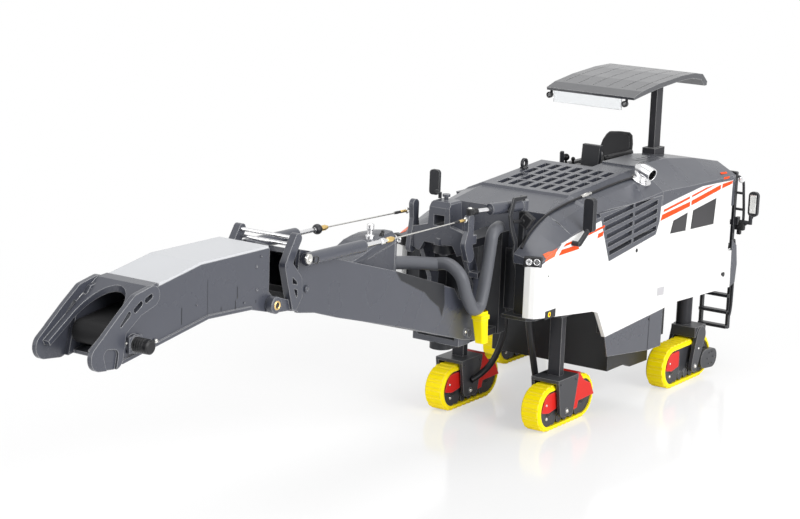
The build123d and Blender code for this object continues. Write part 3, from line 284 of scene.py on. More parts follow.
@dataclass(frozen=True)
class Finish:
    """One finish of the model, as a procedural material.

    Attributes:
        name: Name of the material and of the record's slot.
        surface: Kind of surface.
        colour: Main colour, linear.
        second: Colour that the slow mottle moves towards.
        roughness: Middle roughness.
        edge: How much lighter the outer edges are, as worn paint and as a painted highlight.
        dust: Amount of dust on top.
        shine: Specular level.
        fine: Scale of the grain.
        depth: Depth of the grain, in metres.
        soft_edge: Radius to which edges look rounded, in metres.
    """

    name: str
    surface: Surface
    colour: tuple[float, float, float]
    second: tuple[float, float, float]
    roughness: float = 0.4
    edge: float = 0.15
    dust: float = 0.06
    shine: float = 0.28
    fine: float = 2600.0
    depth: float = 0.00001
    soft_edge: float = 0.00025

    def material(self) -> bpy.types.Material:
        """Gives this finish's material, and builds it the first time."""
        found = bpy.data.materials.get("fin_" + self.name)
        return found if found else self._build()

    def _build(self) -> bpy.types.Material:
        """Builds the node tree: grain, mottle, outer edges lightened as worn paint and a painted highlight,
        and dust into one Principled shader.

        Returns:
            The new material.
        """
        dust_colour, mottle_scale, sway = (0.62, 0.62, 0.60), 90.0, 0.07
        material = bpy.data.materials.new("fin_" + self.name)
        material.use_nodes = True
        tree = Tree(material.node_tree)
        shader = tree.nodes["Principled BSDF"]
        grain = tree.effect(GroupName.GRAIN, Fine_Scale=self.fine, Slow_Scale=mottle_scale)
        edges = tree.effect(GroupName.EDGES, Radius=self.soft_edge)
        dust = tree.effect(GroupName.DUST, Amount=self.dust)
        # paler colour for the outer edges, mixed in by the edge mask: worn paint and a painted highlight
        light = tuple(min(1.0, c + (1.0 - c) * self.edge) for c in self.colour)
        body = tree.mix(self.colour, self.second, grain.outputs["Mottle"])
        worn_and_highlit = tree.mix(body, light, edges.outputs["Mask"])
        dusty = tree.mix(worn_and_highlit, dust_colour, dust.outputs["Mask"])
        tree.tree.links.new(dusty, shader.inputs["Base Color"])
        rough = tree.add("MapRange", To_Min=max(0.02, self.roughness - sway), To_Max=self.roughness + sway)
        bump = tree.add("Bump", Strength=0.5, Distance=self.depth)
        tree.join(
            (grain, "Mottle", rough, "Value"), (rough, "Result", shader, "Roughness"),
            (grain, "Height", bump, "Height"), (edges, "Normal", bump, "Normal"),
            (bump, "Normal", shader, "Normal"),
        )
        if self.surface is Surface.METAL:
            tree.tune(shader, Metallic=1.0)
        elif self.surface is Surface.CLEAR:
            tree.tune(shader, Transmission_Weight=0.85, IOR=1.45)
        else:
            tree.tune(shader, Specular_IOR_Level=self.shine)
        if self.surface is Surface.PAINT:
            tree.tune(shader, Coat_Weight=0.08, Coat_Roughness=0.16)
        return material


# each row gives colour, mottle colour, roughness, edge, dust and shine; edge lightens the outer edges as worn
# paint and as a painted highlight
FINISHES: dict[str, Finish] = {
    name: Finish(name, surface, *values)
    for surface, rows in {
        Surface.PAINT: {
            "body_grey": ((0.046, 0.050, 0.065), (0.060, 0.064, 0.081), 0.28, 0.3, 0.06, 0.45),
            "panel_white": ((0.80, 0.80, 0.79), (0.84, 0.84, 0.83), 0.34, 0.05, 0.0),
            "roof_silver": ((0.50, 0.51, 0.53), (0.56, 0.57, 0.59), 0.36, 0.1),
            "stripe_orange": ((0.94, 0.068, 0.006), (0.97, 0.08, 0.008), 0.5, 0.05, 0.0, 0.1),
            "canopy_grey": ((0.020, 0.022, 0.029), (0.028, 0.030, 0.038), 0.24, 0.3, 0.06, 1.0),
            "column_grey": ((0.025, 0.025, 0.029), (0.034, 0.034, 0.039), 0.38, 0.3, 0.06, 0.12),
            "window_grey": ((0.026, 0.025, 0.028), (0.032, 0.031, 0.034), 0.42, 0.0, 0.0),
            "plate_grey": ((0.46, 0.45, 0.47), (0.52, 0.51, 0.53), 0.4, 0.0, 0.0),
            "amber": ((0.80, 0.11, 0.028), (0.84, 0.15, 0.04), 0.26, 0.1, 0.0),
        },
        Surface.MOULDED: {
            "frame_black": ((0.013, 0.014, 0.017), (0.021, 0.022, 0.026), 0.36),
            "pipe_grey": ((0.088, 0.092, 0.104), (0.112, 0.116, 0.13), 0.36),
            "yellow_plastic": ((1.0, 0.78, 0.001), (1.0, 0.84, 0.002), 0.45, 0.1, 0.0, 0.12),
            "track_yellow": ((1.0, 0.77, 0.001), (1.0, 0.83, 0.002), 0.5, 0.1, 0.0, 0.12),
            "red_plastic": ((0.58, 0.014, 0.010), (0.66, 0.022, 0.016), 0.42, 0.1, 0.0, 0.2),
            "gear_grey": ((0.034, 0.035, 0.040), (0.046, 0.047, 0.053), 0.34, 0.24),
            "rim_black": ((0.010, 0.010, 0.011), (0.018, 0.018, 0.020), 0.36, 0.05, 0.0),
            "lamp_black": ((0.008, 0.008, 0.009), (0.014, 0.014, 0.016), 0.32, 0.06, 0.0),
            "seam_white": ((0.62, 0.61, 0.58), (0.68, 0.67, 0.64), 0.5, 0.0, 0.0),
            "seam_dark": ((0.010, 0.011, 0.014), (0.018, 0.019, 0.022), 0.5, 0.0, 0.0),
        },
        Surface.METAL: {
            "chrome": ((0.72, 0.72, 0.73), (0.80, 0.80, 0.81), 0.16, 0.0, 0.0),
            "drum_steel": ((0.34, 0.34, 0.35), (0.45, 0.45, 0.46), 0.42),
            "brass": ((0.72, 0.50, 0.18), (0.80, 0.58, 0.24), 0.28, 0.05, 0.0),
            "bolt_steel": ((0.60, 0.59, 0.56), (0.72, 0.71, 0.68), 0.26, 0.05, 0.0),
            "mirror_face": ((0.60, 0.60, 0.59), (0.68, 0.68, 0.67), 0.22, 0.0, 0.0),
        },
        Surface.RUBBER: {
            "seat_black": ((0.012, 0.012, 0.014), (0.02, 0.02, 0.022), 0.55),
            "belt_rubber": ((0.010, 0.010, 0.011), (0.017, 0.017, 0.018), 0.6, 0.15, 0.02, 0.15),
            "hose_black": ((0.010, 0.010, 0.011), (0.016, 0.016, 0.018), 0.34, 0.0, 0.02),
        },
        Surface.CLEAR: {
            "clear_plastic": ((0.95, 0.97, 0.98), (0.93, 0.95, 0.97), 0.1, 0.0, 0.0),
            "lens_clear": ((0.95, 0.96, 0.97), (0.92, 0.93, 0.95), 0.08, 0.0, 0.0),
        },
    }.items()
    for name, values in rows.items()
}


# ---- studio


@dataclass
class Studio:
    """Pale floor, soft light and the camera.

    Attributes:
        eye: Camera place, in millimetres from the front track centre.
        pitch: Downward tilt, in radians.
        roll: Roll about the line of sight, in radians.
        heading: Direction of view in the ground plane, in radians.
        view: Width and height of the view, in the units of focal and middle.
        focal: Focal length.
        middle: Place of the line of sight in the view.
        sensor: Width of the camera's sensor, in millimetres.
        floor_half: Half the floor's side, in metres.
        lamps: Name, place in metres, size in metres and power in watts of each soft lamp.
        aim: Place in metres that the lamps point at.
    """

    eye: Place = (448.717, 263.13, 152.535)
    pitch: float = 0.23273
    roll: float = 0.03053
    heading: float = -2.53266
    view: tuple[float, float] = (800.0, 519.0)
    focal: float = 2218.884
    middle: tuple[float, float] = (343.772, 288.5)
    sensor: float = 36.0
    floor_half: float = 3.0
    lamps: tuple = (
        ("key", (0.12, 0.86, 0.42), 0.7, 8.6),
        ("fill", (0.95, -0.35, 0.50), 0.7, 4.2),
        ("top", (-0.10, 0.05, 1.10), 0.8, 4.8),
    )
    aim: Place = (0.0, 0.0, 0.03)

    def build(self) -> None:
        """Makes the camera, floor, world and lamps."""
        self._camera()
        self._floor()
        self._world()
        for name, place, size, power in self.lamps:
            self._lamp(name, Vector(place), size, power)
        bpy.context.scene.view_settings.view_transform = "Standard"

    def _camera(self) -> None:
        """Puts the camera at its place, with its turn and shift."""
        lens = bpy.data.cameras.new("camera")
        camera = bpy.data.objects.new("camera", lens)
        bpy.context.scene.collection.objects.link(camera)
        forward = Vector((
            math.cos(self.heading) * math.cos(self.pitch),
            math.sin(self.heading) * math.cos(self.pitch),
            -math.sin(self.pitch),
        ))
        across = Vector((math.sin(self.heading), -math.cos(self.heading), 0.0))
        rise = across.cross(forward)
        right = across * math.cos(self.roll) + rise * math.sin(self.roll)
        up = rise * math.cos(self.roll) - across * math.sin(self.roll)
        turn = Matrix((right, up, -forward)).transposed().to_4x4()
        camera.matrix_world = Matrix.Translation(spot(*self.eye)) @ turn
        wide, high = self.view
        lens.sensor_width = self.sensor
        lens.lens = self.focal * self.sensor / wide
        lens.shift_x = (wide / 2 - self.middle[0]) / wide
        lens.shift_y = (self.middle[1] - high / 2) / wide
        lens.clip_start, lens.clip_end = 0.01, 50.0
        bpy.context.scene.camera = camera

    def _floor(self) -> None:
        """Makes the glossy white table top as one large sheet."""
        mesh = bpy.data.meshes.new("floor")
        form = bmesh.new()
        bmesh.ops.create_grid(form, x_segments=1, y_segments=1, size=self.floor_half)
        form.to_mesh(mesh)
        form.free()
        table = bpy.data.objects.new("floor", mesh)
        bpy.context.scene.collection.objects.link(table)
        material = bpy.data.materials.new("table_top")
        material.use_nodes = True
        tree = Tree(material.node_tree)
        shader = tree.nodes["Principled BSDF"]
        tree.tune(shader, Base_Color=(0.93, 0.93, 0.93, 1.0), Roughness=0.12, Specular_IOR_Level=0.6)
        glow = tree.add("Emission")
        place = tree.add("TexCoord")
        reach = tree.add("VectorMath", "LENGTH")
        far = tree.add("MapRange", From_Min=0.04, From_Max=0.24, To_Min=0.52, To_Max=1.0)
        far.interpolation_type = "SMOOTHSTEP"
        path = tree.add("LightPath")
        seen = tree.add("Math", "MAXIMUM")
        share = tree.add("Math", "MULTIPLY")
        both = tree.add("MixShader")
        tree.join(
            (place, "Object", reach, 0), (reach, "Value", far, "Value"),
            (path, "Is Camera Ray", seen, 0), (path, "Is Transmission Ray", seen, 1),
            (seen, "Value", share, 0), (far, "Result", share, 1), (share, "Value", both, 0),
            (shader, "BSDF", both, 1), (glow, "Emission", both, 2),
            (both, "Shader", tree.nodes["Material Output"], "Surface"),
        )
        mesh.materials.append(material)

    @staticmethod
    def _world() -> None:
        """White surroundings to the camera and to reflections, gentler as light."""
        world = bpy.data.worlds.new("studio")
        bpy.context.scene.world = world
        world.use_nodes = True
        tree = Tree(world.node_tree)
        back = tree.tune(tree.nodes["Background"], Color=(1.0, 1.0, 1.0, 1.0))
        path = tree.add("LightPath")
        either = tree.add("Math", "MAXIMUM")
        seen = tree.add("MapRange", To_Min=0.42, To_Max=1.0)
        tree.join(
            (path, "Is Camera Ray", either, 0), (path, "Is Glossy Ray", either, 1),
            (either, "Value", seen, "Value"), (seen, "Result", back, "Strength"),
        )

    def _lamp(self, name: str, place: Vector, size: float, power: float) -> None:
        """Makes a square soft lamp that points at the model.

        Args:
            name: The lamp's name.
            place: Where it hangs, in metres.
            size: The length of its side, in metres.
            power: Its power, in watts.
        """
        data = bpy.data.lights.new(name, "AREA")
        data.size, data.energy = size, power
        lamp = bpy.data.objects.new(name, data)
        bpy.context.scene.collection.objects.link(lamp)
        lamp.location = place
        lamp.rotation_mode = "QUATERNION"
        lamp.rotation_quaternion = (Vector(self.aim) - place).to_track_quat("-Z", "Y")


# ---- mesh work


def once(items: Iterable) -> list:
    """Gives each item once, in the order of the first, so that every run builds the same mesh."""
    return list(dict.fromkeys(items))


class Form:
    """A mesh in the making, with places in millimetres from the front track centre."""

    def __init__(self) -> None:
        """Starts an empty mesh."""
        self.mesh = bmesh.new()
        self.finishes: list[str] = []

    def _paint(self, faces: list[bmesh.types.BMFace], finish: str, smooth: bool = False) -> None:
        """Gives faces the material slot of a finish, and their shading.

        Args:
            faces: The faces to paint.
            finish: The finish's name.
            smooth: Whether they shade smoothly.
        """
        if finish not in self.finishes:
            self.finishes.append(finish)
        for item in faces:
            item.material_index = self.finishes.index(finish)
            item.smooth = smooth

    def _since(self, before: set[bmesh.types.BMFace]) -> list[bmesh.types.BMFace]:
        """Gives the faces made since a moment."""
        return [item for item in self.mesh.faces if item not in before]

    def _bevel(self, edges: list[bmesh.types.BMEdge], radius: float) -> None:
        """Rounds edges to a radius in millimetres."""
        bmesh.ops.bevel(
            self.mesh, geom=edges, offset=radius * MM, affect="EDGES", segments=2, profile=0.5, material=-1)

    def _spin(self, geom: list, centre: Vector, axis: Vector, steps: int, finish: str,
              before: set[bmesh.types.BMFace]) -> None:
        """Spins a profile once round an axis and finishes the skin.

        Args:
            geom: Points and edges of the profile.
            centre: A place on the axis.
            axis: Direction of the axis.
            steps: Facets round it.
            finish: Finish of the skin.
            before: Faces that the mesh already had.
        """
        bmesh.ops.spin(
            self.mesh, geom=geom, cent=centre, axis=axis, angle=math.tau, steps=steps, use_merge=True)
        verts = once(vert for item in self._since(before) for vert in item.verts)
        bmesh.ops.remove_doubles(self.mesh, verts=verts, dist=1e-7)
        made = self._since(before)
        bmesh.ops.recalc_face_normals(self.mesh, faces=made)
        self._paint(made, finish, True)

    def plate(self, places: list[Place], thick: float, finish: str, lip: float = 0.0) -> None:
        """Makes a thin plate on a flat outline.

        Args:
            places: Outline, counter-clockwise when seen from outside.
            thick: How far it stands out, in millimetres.
            finish: Finish of the plate.
            lip: Width of the rounded edge, in millimetres.
        """
        before = set(self.mesh.faces)
        corners = [self.mesh.verts.new(spot(*place)) for place in places]
        sheet = self.mesh.faces.new(corners)
        sheet.normal_update()
        outward = sheet.normal.copy()
        grown = bmesh.ops.extrude_face_region(self.mesh, geom=[sheet], use_keep_orig=True)
        raised = [item for item in grown["geom"] if isinstance(item, bmesh.types.BMVert)]
        bmesh.ops.translate(self.mesh, verts=raised, vec=outward * thick * MM)
        if lip:
            upper = [item for item in grown["geom"] if isinstance(item, bmesh.types.BMFace)]
            self._bevel(once(edge for item in upper for edge in item.edges), lip)
        bmesh.ops.delete(self.mesh, geom=[sheet], context="FACES_ONLY")
        made = self._since(before)
        bmesh.ops.recalc_face_normals(self.mesh, faces=made)
        if max(made, key=lambda item: item.calc_area()).normal.dot(outward) < 0.0:
            bmesh.ops.reverse_faces(self.mesh, faces=made)
        self._paint(made, finish)

    def box(self, low: Place, high: Place, finish: str, edge: float = 0.1,
            turn: Matrix | None = None) -> None:
        """Makes a block with rounded edges.

        Args:
            low: Lowest corner.
            high: Highest corner.
            finish: Finish of the block.
            edge: Radius of its edges, in millimetres.
            turn: Turn about its middle.
        """
        before = set(self.mesh.faces)
        middle = spot(*((a + b) / 2 for a, b in zip(low, high)))
        size = Matrix.Diagonal([(b - a) * MM for a, b in zip(low, high)] + [1.0])
        place = Matrix.Translation(middle) @ (turn.to_4x4() if turn else Matrix.Identity(4))
        made = bmesh.ops.create_cube(self.mesh, size=1.0, matrix=place @ size)
        self._bevel(once(item for vert in made["verts"] for item in vert.link_edges), edge)
        self._paint(self._since(before), finish)

    def sections(self, rings: list[list[Place]], finish: str) -> None:
        """Joins cross-sections of equal size into one closed skin.

        Args:
            rings: Cross-sections in order, each a closed outline.
            finish: Finish of the skin.
        """
        before = set(self.mesh.faces)
        loops = []
        for ring in rings:
            verts = [self.mesh.verts.new(spot(*place)) for place in ring]
            loops.append([self.mesh.edges.new(pair) for pair in zip(verts, verts[1:] + verts[:1])])
        for first, last in zip(loops, loops[1:]):
            bmesh.ops.bridge_loops(self.mesh, edges=first + last)
        for loop in (loops[0], loops[-1]):
            bmesh.ops.holes_fill(self.mesh, edges=loop, sides=0)
        made = self._since(before)
        bmesh.ops.recalc_face_normals(self.mesh, faces=made)
        self._paint(made, finish)

    def turned(self, start: Place, end: Place, profile: Profile, finish: str, sides: int = 24) -> None:
        """Makes a turned part by spinning a profile about the line between two places.

        Args:
            start: Place where the line begins.
            end: Place where it ends.
            profile: Points of (share of the line, radius in millimetres), from start to end.
            finish: Finish of the part.
            sides: Facets round it.
        """
        before = set(self.mesh.faces)
        first, last = spot(*start), spot(*end)
        run = last - first
        out = run.orthogonal().normalized()
        rim = [self.mesh.verts.new(first + run * share + out * radius * MM) for share, radius in profile]
        edges = [self.mesh.edges.new(pair) for pair in zip(rim, rim[1:])]
        self._spin(rim + edges, first, run.normalized(), sides, finish, before)

    def rod(self, start: Place, end: Place, radius: float, finish: str, sides: int) -> None:
        """Makes a plain round rod with flat ends."""
        self.turned(start, end, [(0.0, 0.0), (0.0, radius), (1.0, radius), (1.0, 0.0)], finish, sides)

    def bolt(self, place: Place, out: Place, radius: float, finish: str, height: float = 0.25) -> None:
        """Makes a domed screw head with a socket in its middle.

        Args:
            place: Middle of its seat.
            out: Direction in which it stands out.
            radius: Radius of the head, in millimetres.
            finish: Finish of the head.
            height: How far it stands out.
        """
        end = tuple(a + b * height for a, b in zip(place, out))
        self.turned(place, end, [
            (-0.3, radius), (0.55, radius), (0.85, radius * 0.86), (1.0, radius * 0.6),
            (1.0, radius * 0.36), (0.5, radius * 0.3), (0.5, 0.0),
        ], finish, 16)

    def ring(self, place: Place, out: Place, radius: float, thick: float, finish: str) -> None:
        """Makes a round ring whose hole faces a direction.

        Args:
            place: The ring's middle.
            out: The direction that the hole faces.
            radius: From the ring's middle to its wire's.
            thick: Radius of the wire.
            finish: The finish's name.
        """
        before = set(self.mesh.faces)
        axis = Vector(out).normalized()
        side = axis.orthogonal().normalized()
        made = bmesh.ops.create_circle(self.mesh, segments=10, radius=thick * MM)
        upright = Matrix((side, axis, side.cross(axis))).transposed().to_4x4()
        start = Matrix.Translation(spot(*place) + side * radius * MM)
        bmesh.ops.transform(self.mesh, matrix=start @ upright, verts=made["verts"])
        edges = once(edge for vert in made["verts"] for edge in vert.link_edges)
        self._spin(made["verts"] + edges, spot(*place), axis, 28, finish, before)

    def mirrored(self) -> None:
        """Adds the same parts on the machine's other side."""
        middle = Matrix.Translation((0.0, spot(0.0, 0.0, 0.0).y, 0.0))
        flip = middle @ Matrix.Diagonal((1.0, -1.0, 1.0, 1.0)) @ middle.inverted()
        geom = list(self.mesh.verts) + list(self.mesh.edges) + list(self.mesh.faces)
        made = bmesh.ops.duplicate(self.mesh, geom=geom)["geom"]
        verts = [item for item in made if isinstance(item, bmesh.types.BMVert)]
        faces = [item for item in made if isinstance(item, bmesh.types.BMFace)]
        bmesh.ops.transform(self.mesh, matrix=flip, verts=verts)
        bmesh.ops.reverse_faces(self.mesh, faces=faces)

    def piece(self, name: str, body: str, smooth: float = 35.0) -> bpy.types.Object:
        """Finishes the mesh as a piece that rides on a body.

        Args:
            name: The piece's name.
            body: Body that it rides on.
            smooth: Largest angle between faces that shade as one, in degrees.

        Returns:
            The new object.
        """
        data = bpy.data.meshes.new(name)
        for edge in self.mesh.edges:
            edge.smooth = len(edge.link_faces) == 2 and edge.calc_face_angle(0.0) < math.radians(smooth)
        self.mesh.to_mesh(data)
        self.mesh.free()
        for finish in self.finishes:
            data.materials.append(FINISHES[finish].material())
        made = bpy.data.objects.new(name, data)
        bpy.context.scene.collection.objects.link(made)
        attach(made, body)
        LOG.info("%s: %d faces on %s", name, len(data.polygons), body)
        return made


def tube(name: str, places: tuple[Place, ...], radius: float, finish: str, body: str | None = None,
         slot: str | None = None) -> bpy.types.Object:
    """Makes a smooth round tube through places, as a mesh.

    Args:
        name: The piece's name.
        places: Control points of its line.
        radius: Outer radius, in millimetres.
        finish: Its finish.
        body: Body that it rides on, or none to leave it unattached.
        slot: Record slot of its finish; not used.

    Returns:
        The tube.
    """
    line = bpy.data.curves.new(name + "_line", "CURVE")
    line.dimensions = "3D"
    run = line.splines.new("NURBS")
    run.points.add(len(places) - 1)
    for point, place in zip(run.points, places):
        point.co = (*spot(*place), 1.0)
    run.order_u, run.use_endpoint_u = 3, True
    line.resolution_u = 10
    line.bevel_depth, line.bevel_resolution = radius * MM, 5
    line.use_fill_caps = True
    holder = bpy.data.objects.new(name + "_line", line)
    data = bpy.data.meshes.new_from_object(holder)
    data.name = name
    data.materials.clear()
    data.materials.append(FINISHES[finish].material())
    for item in data.polygons:
        item.use_smooth = True
    bpy.data.objects.remove(holder)
    made = bpy.data.objects.new(name, data)
    bpy.context.scene.collection.objects.link(made)
    if body:
        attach(made, body)
    LOG.info("%s: tube of %d faces", name, len(data.polygons))
    return made


# ---- sub-assemblies


@dataclass
class SidePanelTrim:
    """Stripes, windows, seams, hatch and small fittings on both white side panels.

    Attributes:
        face: Distance of the panel's outer face from the middle.
        film: Thickness of a stripe.
        stripes: Outlines of the stripes, (forward, up).
        windows: Outlines of the window panes, (forward, up).
        seams: Panel joints, each a pair of (forward, up) ends.
        hatch: Outline of the moulded hatch, (forward, up).
        plate: Outline of the blank plate, (forward, up).
    """

    face: float = 20.0
    film: float = 0.03
    stripes: tuple = (
        ((14.8, 44.4), (13.4, 45.6), (5.9, 45.6), (5.2, 44.5)),
        ((12.9, 46.1), (11.6, 46.75), (8.1, 46.95), (8.2, 46.35)),
        ((-3.3, 45.6), (-3.6, 46.7), (-6.2, 46.95), (-5.9, 45.85)),
        ((4.2, 46.75), (2.9, 47.45), (-6.6, 48.35), (-6.4, 47.75)),
        ((-35.3, 45.0), (-36.1, 46.45), (-51.1, 47.6), (-51.1, 46.4)),
        ((-36.6, 46.95), (-36.9, 47.6), (-50.9, 49.0), (-50.8, 48.4)),
        ((-51.9, 46.5), (-51.9, 47.7), (-68.5, 49.6), (-68.3, 48.4)),
        ((-51.9, 48.55), (-52.1, 49.1), (-60.0, 49.95), (-65.4, 50.1)),
        ((-69.1, 48.45), (-69.4, 49.65), (-75.3, 49.7), (-75.1, 48.95)),
    )
    windows: tuple = (
        ((-41.0, 40.9), (-42.4, 44.0), (-50.1, 44.95), (-49.5, 40.4)),
        ((-52.3, 40.3), (-53.1, 45.05), (-66.2, 46.4), (-65.4, 39.7)),
    )
    seams: tuple = (
        ((6.7, 30.0), (7.0, 42.9)),
        ((-50.7, 23.0), (-50.8, 39.4)),
        ((-67.2, 22.6), (-67.6, 38.6)),
        ((-34.6, 22.4), (-34.2, 32.0)),
    )
    hatch: tuple = ((-12.3, 39.1), (-12.4, 34.4), (-13.3, 33.5), (-32.4, 32.2), (-33.3, 33.0), (-33.5, 41.6))
    plate: tuple = ((-35.9, 25.9), (-36.0, 27.9), (-39.7, 27.7), (-39.6, 25.6))

    def _shape(self, outline: tuple, proud: float = 0.0) -> list[Place]:
        """Puts an outline of (forward, up) on the left panel, turned to face out.

        Args:
            outline: The corners.
            proud: How far out of the panel the outline lies.

        Returns:
            The places of the corners, in the order that faces out.
        """
        ends = zip(outline, outline[1:] + outline[:1])
        area = sum(a[0] * b[1] - b[0] * a[1] for a, b in ends) / 2
        places = [(x, self.face + proud, z) for x, z in outline]
        return places if area < 0 else places[::-1]

    @staticmethod
    def _inset(outline: tuple, margin: float) -> tuple:
        """Draws an outline in towards its middle by about a margin.

        Args:
            outline: The corners.
            margin: How far in.

        Returns:
            The corners of the smaller outline.
        """
        mx, mz = (sum(place[axis] for place in outline) / len(outline) for axis in (0, 1))
        reach = min(math.hypot(x - mx, z - mz) for x, z in outline)
        corner = 1.3
        share = 1.0 - margin * corner / reach
        return tuple((mx + (x - mx) * share, mz + (z - mz) * share) for x, z in outline)

    def build(self) -> None:
        """Makes every piece of trim on both panels."""
        stripes = Form()
        for outline in self.stripes:
            stripes.plate(self._shape(outline), self.film, "stripe_orange")
        stripes.mirrored()
        stripes.piece("side_stripes", "chassis")
        panes = Form()
        for outline in self.windows:
            panes.plate(self._shape(outline), 0.05, "rim_black", 0.02)
            panes.plate(self._shape(self._inset(outline, 0.3), 0.02), 0.06, "window_grey")
        panes.mirrored()
        panes.piece("side_windows", "chassis")
        joints = Form()
        half = 0.06
        for (x0, z0), (x1, z1) in self.seams:
            seam = ((x0 - half, z0), (x0 + half, z0), (x1 + half, z1), (x1 - half, z1))
            joints.plate(self._shape(seam), 0.012, "seam_white")
        joints.plate(self._shape(self.hatch), 0.07, "panel_white", 0.04)
        joints.mirrored()
        joints.piece("side_hatches", "chassis")
        self._fittings()

    def _fittings(self) -> None:
        """Makes the lock, the small plug, the latch, the blank plate and the stop button."""
        parts = Form()
        side = self.face

        def stud(x: float, z: float, ends: tuple[float, float], profile: Profile, finish: str,
                 sides: int) -> None:
            """Turns a small part between two distances from the panel's face."""
            low, high = ends
            parts.turned((x, side + low, z), (x, side + high, z), profile, finish, sides)

        lock = [(0.0, 0.5), (0.8, 0.5), (1.0, 0.42), (1.0, 0.26), (0.7, 0.22), (0.7, 0.0)]
        stud(-23.46, 39.5, (-0.1, 0.22), lock, "rim_black", 24)
        stud(18.95, 40.33, (-0.1, 0.08), [(0.0, 0.2), (0.9, 0.2), (1.0, 0.0)], "rim_black", 12)
        knob = [(0.0, 0.62), (0.8, 0.62), (1.0, 0.5), (1.0, 0.0)]
        stud(-73.4, 25.0, (-0.1, 0.25), knob, "rim_black", 20)
        parts.box((-73.4, side - 0.1, 24.9), (-72.2, side + 0.3, 25.6), "rim_black", 0.1)
        parts.plate(self._shape(self.plate), 0.03, "plate_grey")
        parts.box((14.9, side - 0.2, 30.2), (19.6, side + 0.1, 32.1), "rim_black", 0.08)
        disc = [(0.0, 0.62), (0.8, 0.62), (1.0, 0.56), (1.0, 0.0)]
        stud(17.8, 31.15, (0.0, 0.16), disc, "yellow_plastic", 24)
        button = [(0.0, 0.28), (0.8, 0.3), (1.0, 0.22), (1.0, 0.0)]
        stud(17.8, 31.15, (0.0, 0.26), button, "red_plastic", 16)
        parts.mirrored()
        parts.piece("side_fittings", "chassis")


@dataclass
class CornerLamps:
    """Twin lamps in a black housing on each front corner, and the amber lens beside them.

    Attributes:
        turn: How far the housing looks outwards, in radians.
        lamps: Places of the two lamps' faces.
        radius: Radius of a lamp.
    """

    turn: float = 0.42
    lamps: tuple = ((24.2, 17.75, 44.1), (23.3, 19.3, 44.15))
    radius: float = 0.62

    def build(self) -> None:
        """Makes the housings, lamps and lenses of both corners."""
        look = (math.cos(self.turn), math.sin(self.turn), 0.0)
        shell = Form()
        turn = Matrix.Rotation(self.turn, 3, "Z")
        x, y, _ = (sum(lamp[axis] for lamp in self.lamps) / 2 - look[axis] * 1.0 for axis in range(3))
        shell.box((x - 0.8, y - 2.1, 42.85), (x + 0.8, y + 2.0, 45.2), "lamp_black", 0.25, turn)
        shell.box((21.4, 15.6, 42.6), (23.4, 18.6, 43.3), "lamp_black", 0.2)
        rim = self.radius
        for lamp in self.lamps:
            back, lens, tip = (
                tuple(a + b * step for a, b in zip(lamp, look)) for step in (-0.7, -0.28, 0.05))
            shell.turned(back, lamp, [
                (0.0, rim + 0.12), (0.9, rim + 0.12), (1.0, rim), (0.6, rim - 0.1), (0.5, 0.0),
            ], "chrome", 28)
            shell.turned(lens, tip, [
                (0.0, rim - 0.12), (0.5, rim - 0.16), (0.85, rim * 0.5), (1.0, 0.0),
            ], "lens_clear", 28)
        shell.mirrored()
        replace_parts(shell.piece("corner_lamps", "chassis"), "nose_lamps")
        amber = Form()
        side = [(20.9, 20.0, 43.95), (16.6, 20.0, 44.5), (15.5, 20.0, 46.1), (20.5, 20.0, 44.58)]
        amber.plate(side, 0.06, "amber", 0.02)
        top = [(20.5, 20.0, 44.62), (15.5, 20.0, 46.18), (15.35, 19.75, 46.3), (19.7, 18.65, 45.3)]
        amber.plate(top, 0.06, "amber")
        amber.mirrored()
        amber.piece("corner_reflectors", "chassis")


@dataclass
class HoodTrim:
    """Cable with its clamps, dashes on the rear hood and the lamp on the front shoulder.

    Attributes:
        cable: Control points of the cable.
        clamps: Ends of each clamp's sleeve along the cable.
        dashes: Outlines of the two dashes on the rear hood.
    """

    cable: tuple = (
        (21.2, 13.9, 46.3), (18.4, 13.3, 48.2), (14.4, 13.2, 50.4), (9.4, 13.3, 52.3), (3.0, 13.2, 53.3),
        (-3.4, 13.9, 54.3), (-12.4, 14.1, 54.9), (-21.0, 14.1, 55.5), (-29.0, 14.4, 55.9),
        (-34.0, 15.0, 55.9),
    )
    clamps: tuple = (((-5.4, 14.0, 54.45), (-9.6, 14.1, 54.75)), ((-30.0, 14.5, 55.85), (-33.2, 14.9, 55.9)))
    dashes: tuple = (
        ((-70.4, 18.97, 51.87), (-73.7, 19.03, 51.7), (-73.9, 18.6, 52.05), (-70.6, 18.5, 52.25)),
        ((-69.8, 20.0, 50.75), (-73.0, 20.0, 50.65), (-73.2, 19.95, 51.15), (-70.0, 19.95, 51.3)),
    )

    def build(self) -> None:
        """Makes every piece of trim on the hoods."""
        tube("hood_cable", self.cable, 0.28, "hose_black", "chassis")
        sleeves = Form()
        for first, last in self.clamps:
            sleeves.turned(first, last, [
                (0.0, 0.3), (0.0, 0.42), (0.3, 0.42), (0.34, 0.52), (0.7, 0.52), (0.74, 0.42), (1.0, 0.42),
                (1.0, 0.3),
            ], "bolt_steel", 20)
        sleeves.piece("cable_clamps", "chassis")
        marks = Form()
        for outline in self.dashes:
            marks.plate(list(outline), 0.05, "stripe_orange")
        marks.piece("hood_dashes", "chassis")
        cover = Form()
        tilt = Matrix.Rotation(math.radians(-32.0), 3, "X")
        cover.box((18.9, 12.55, 50.75), (20.1, 15.45, 54.15), "lamp_black", 0.25, tilt)
        cover.box((19.8, 12.8, 51.1), (20.3, 15.2, 53.8), "rim_black", 0.12, tilt)
        cover.rod((19.8, 13.4, 52.4), (23.6, 12.7, 52.6), 0.4, "lamp_black", 16)
        cover.piece("shoulder_lamp", "chassis")


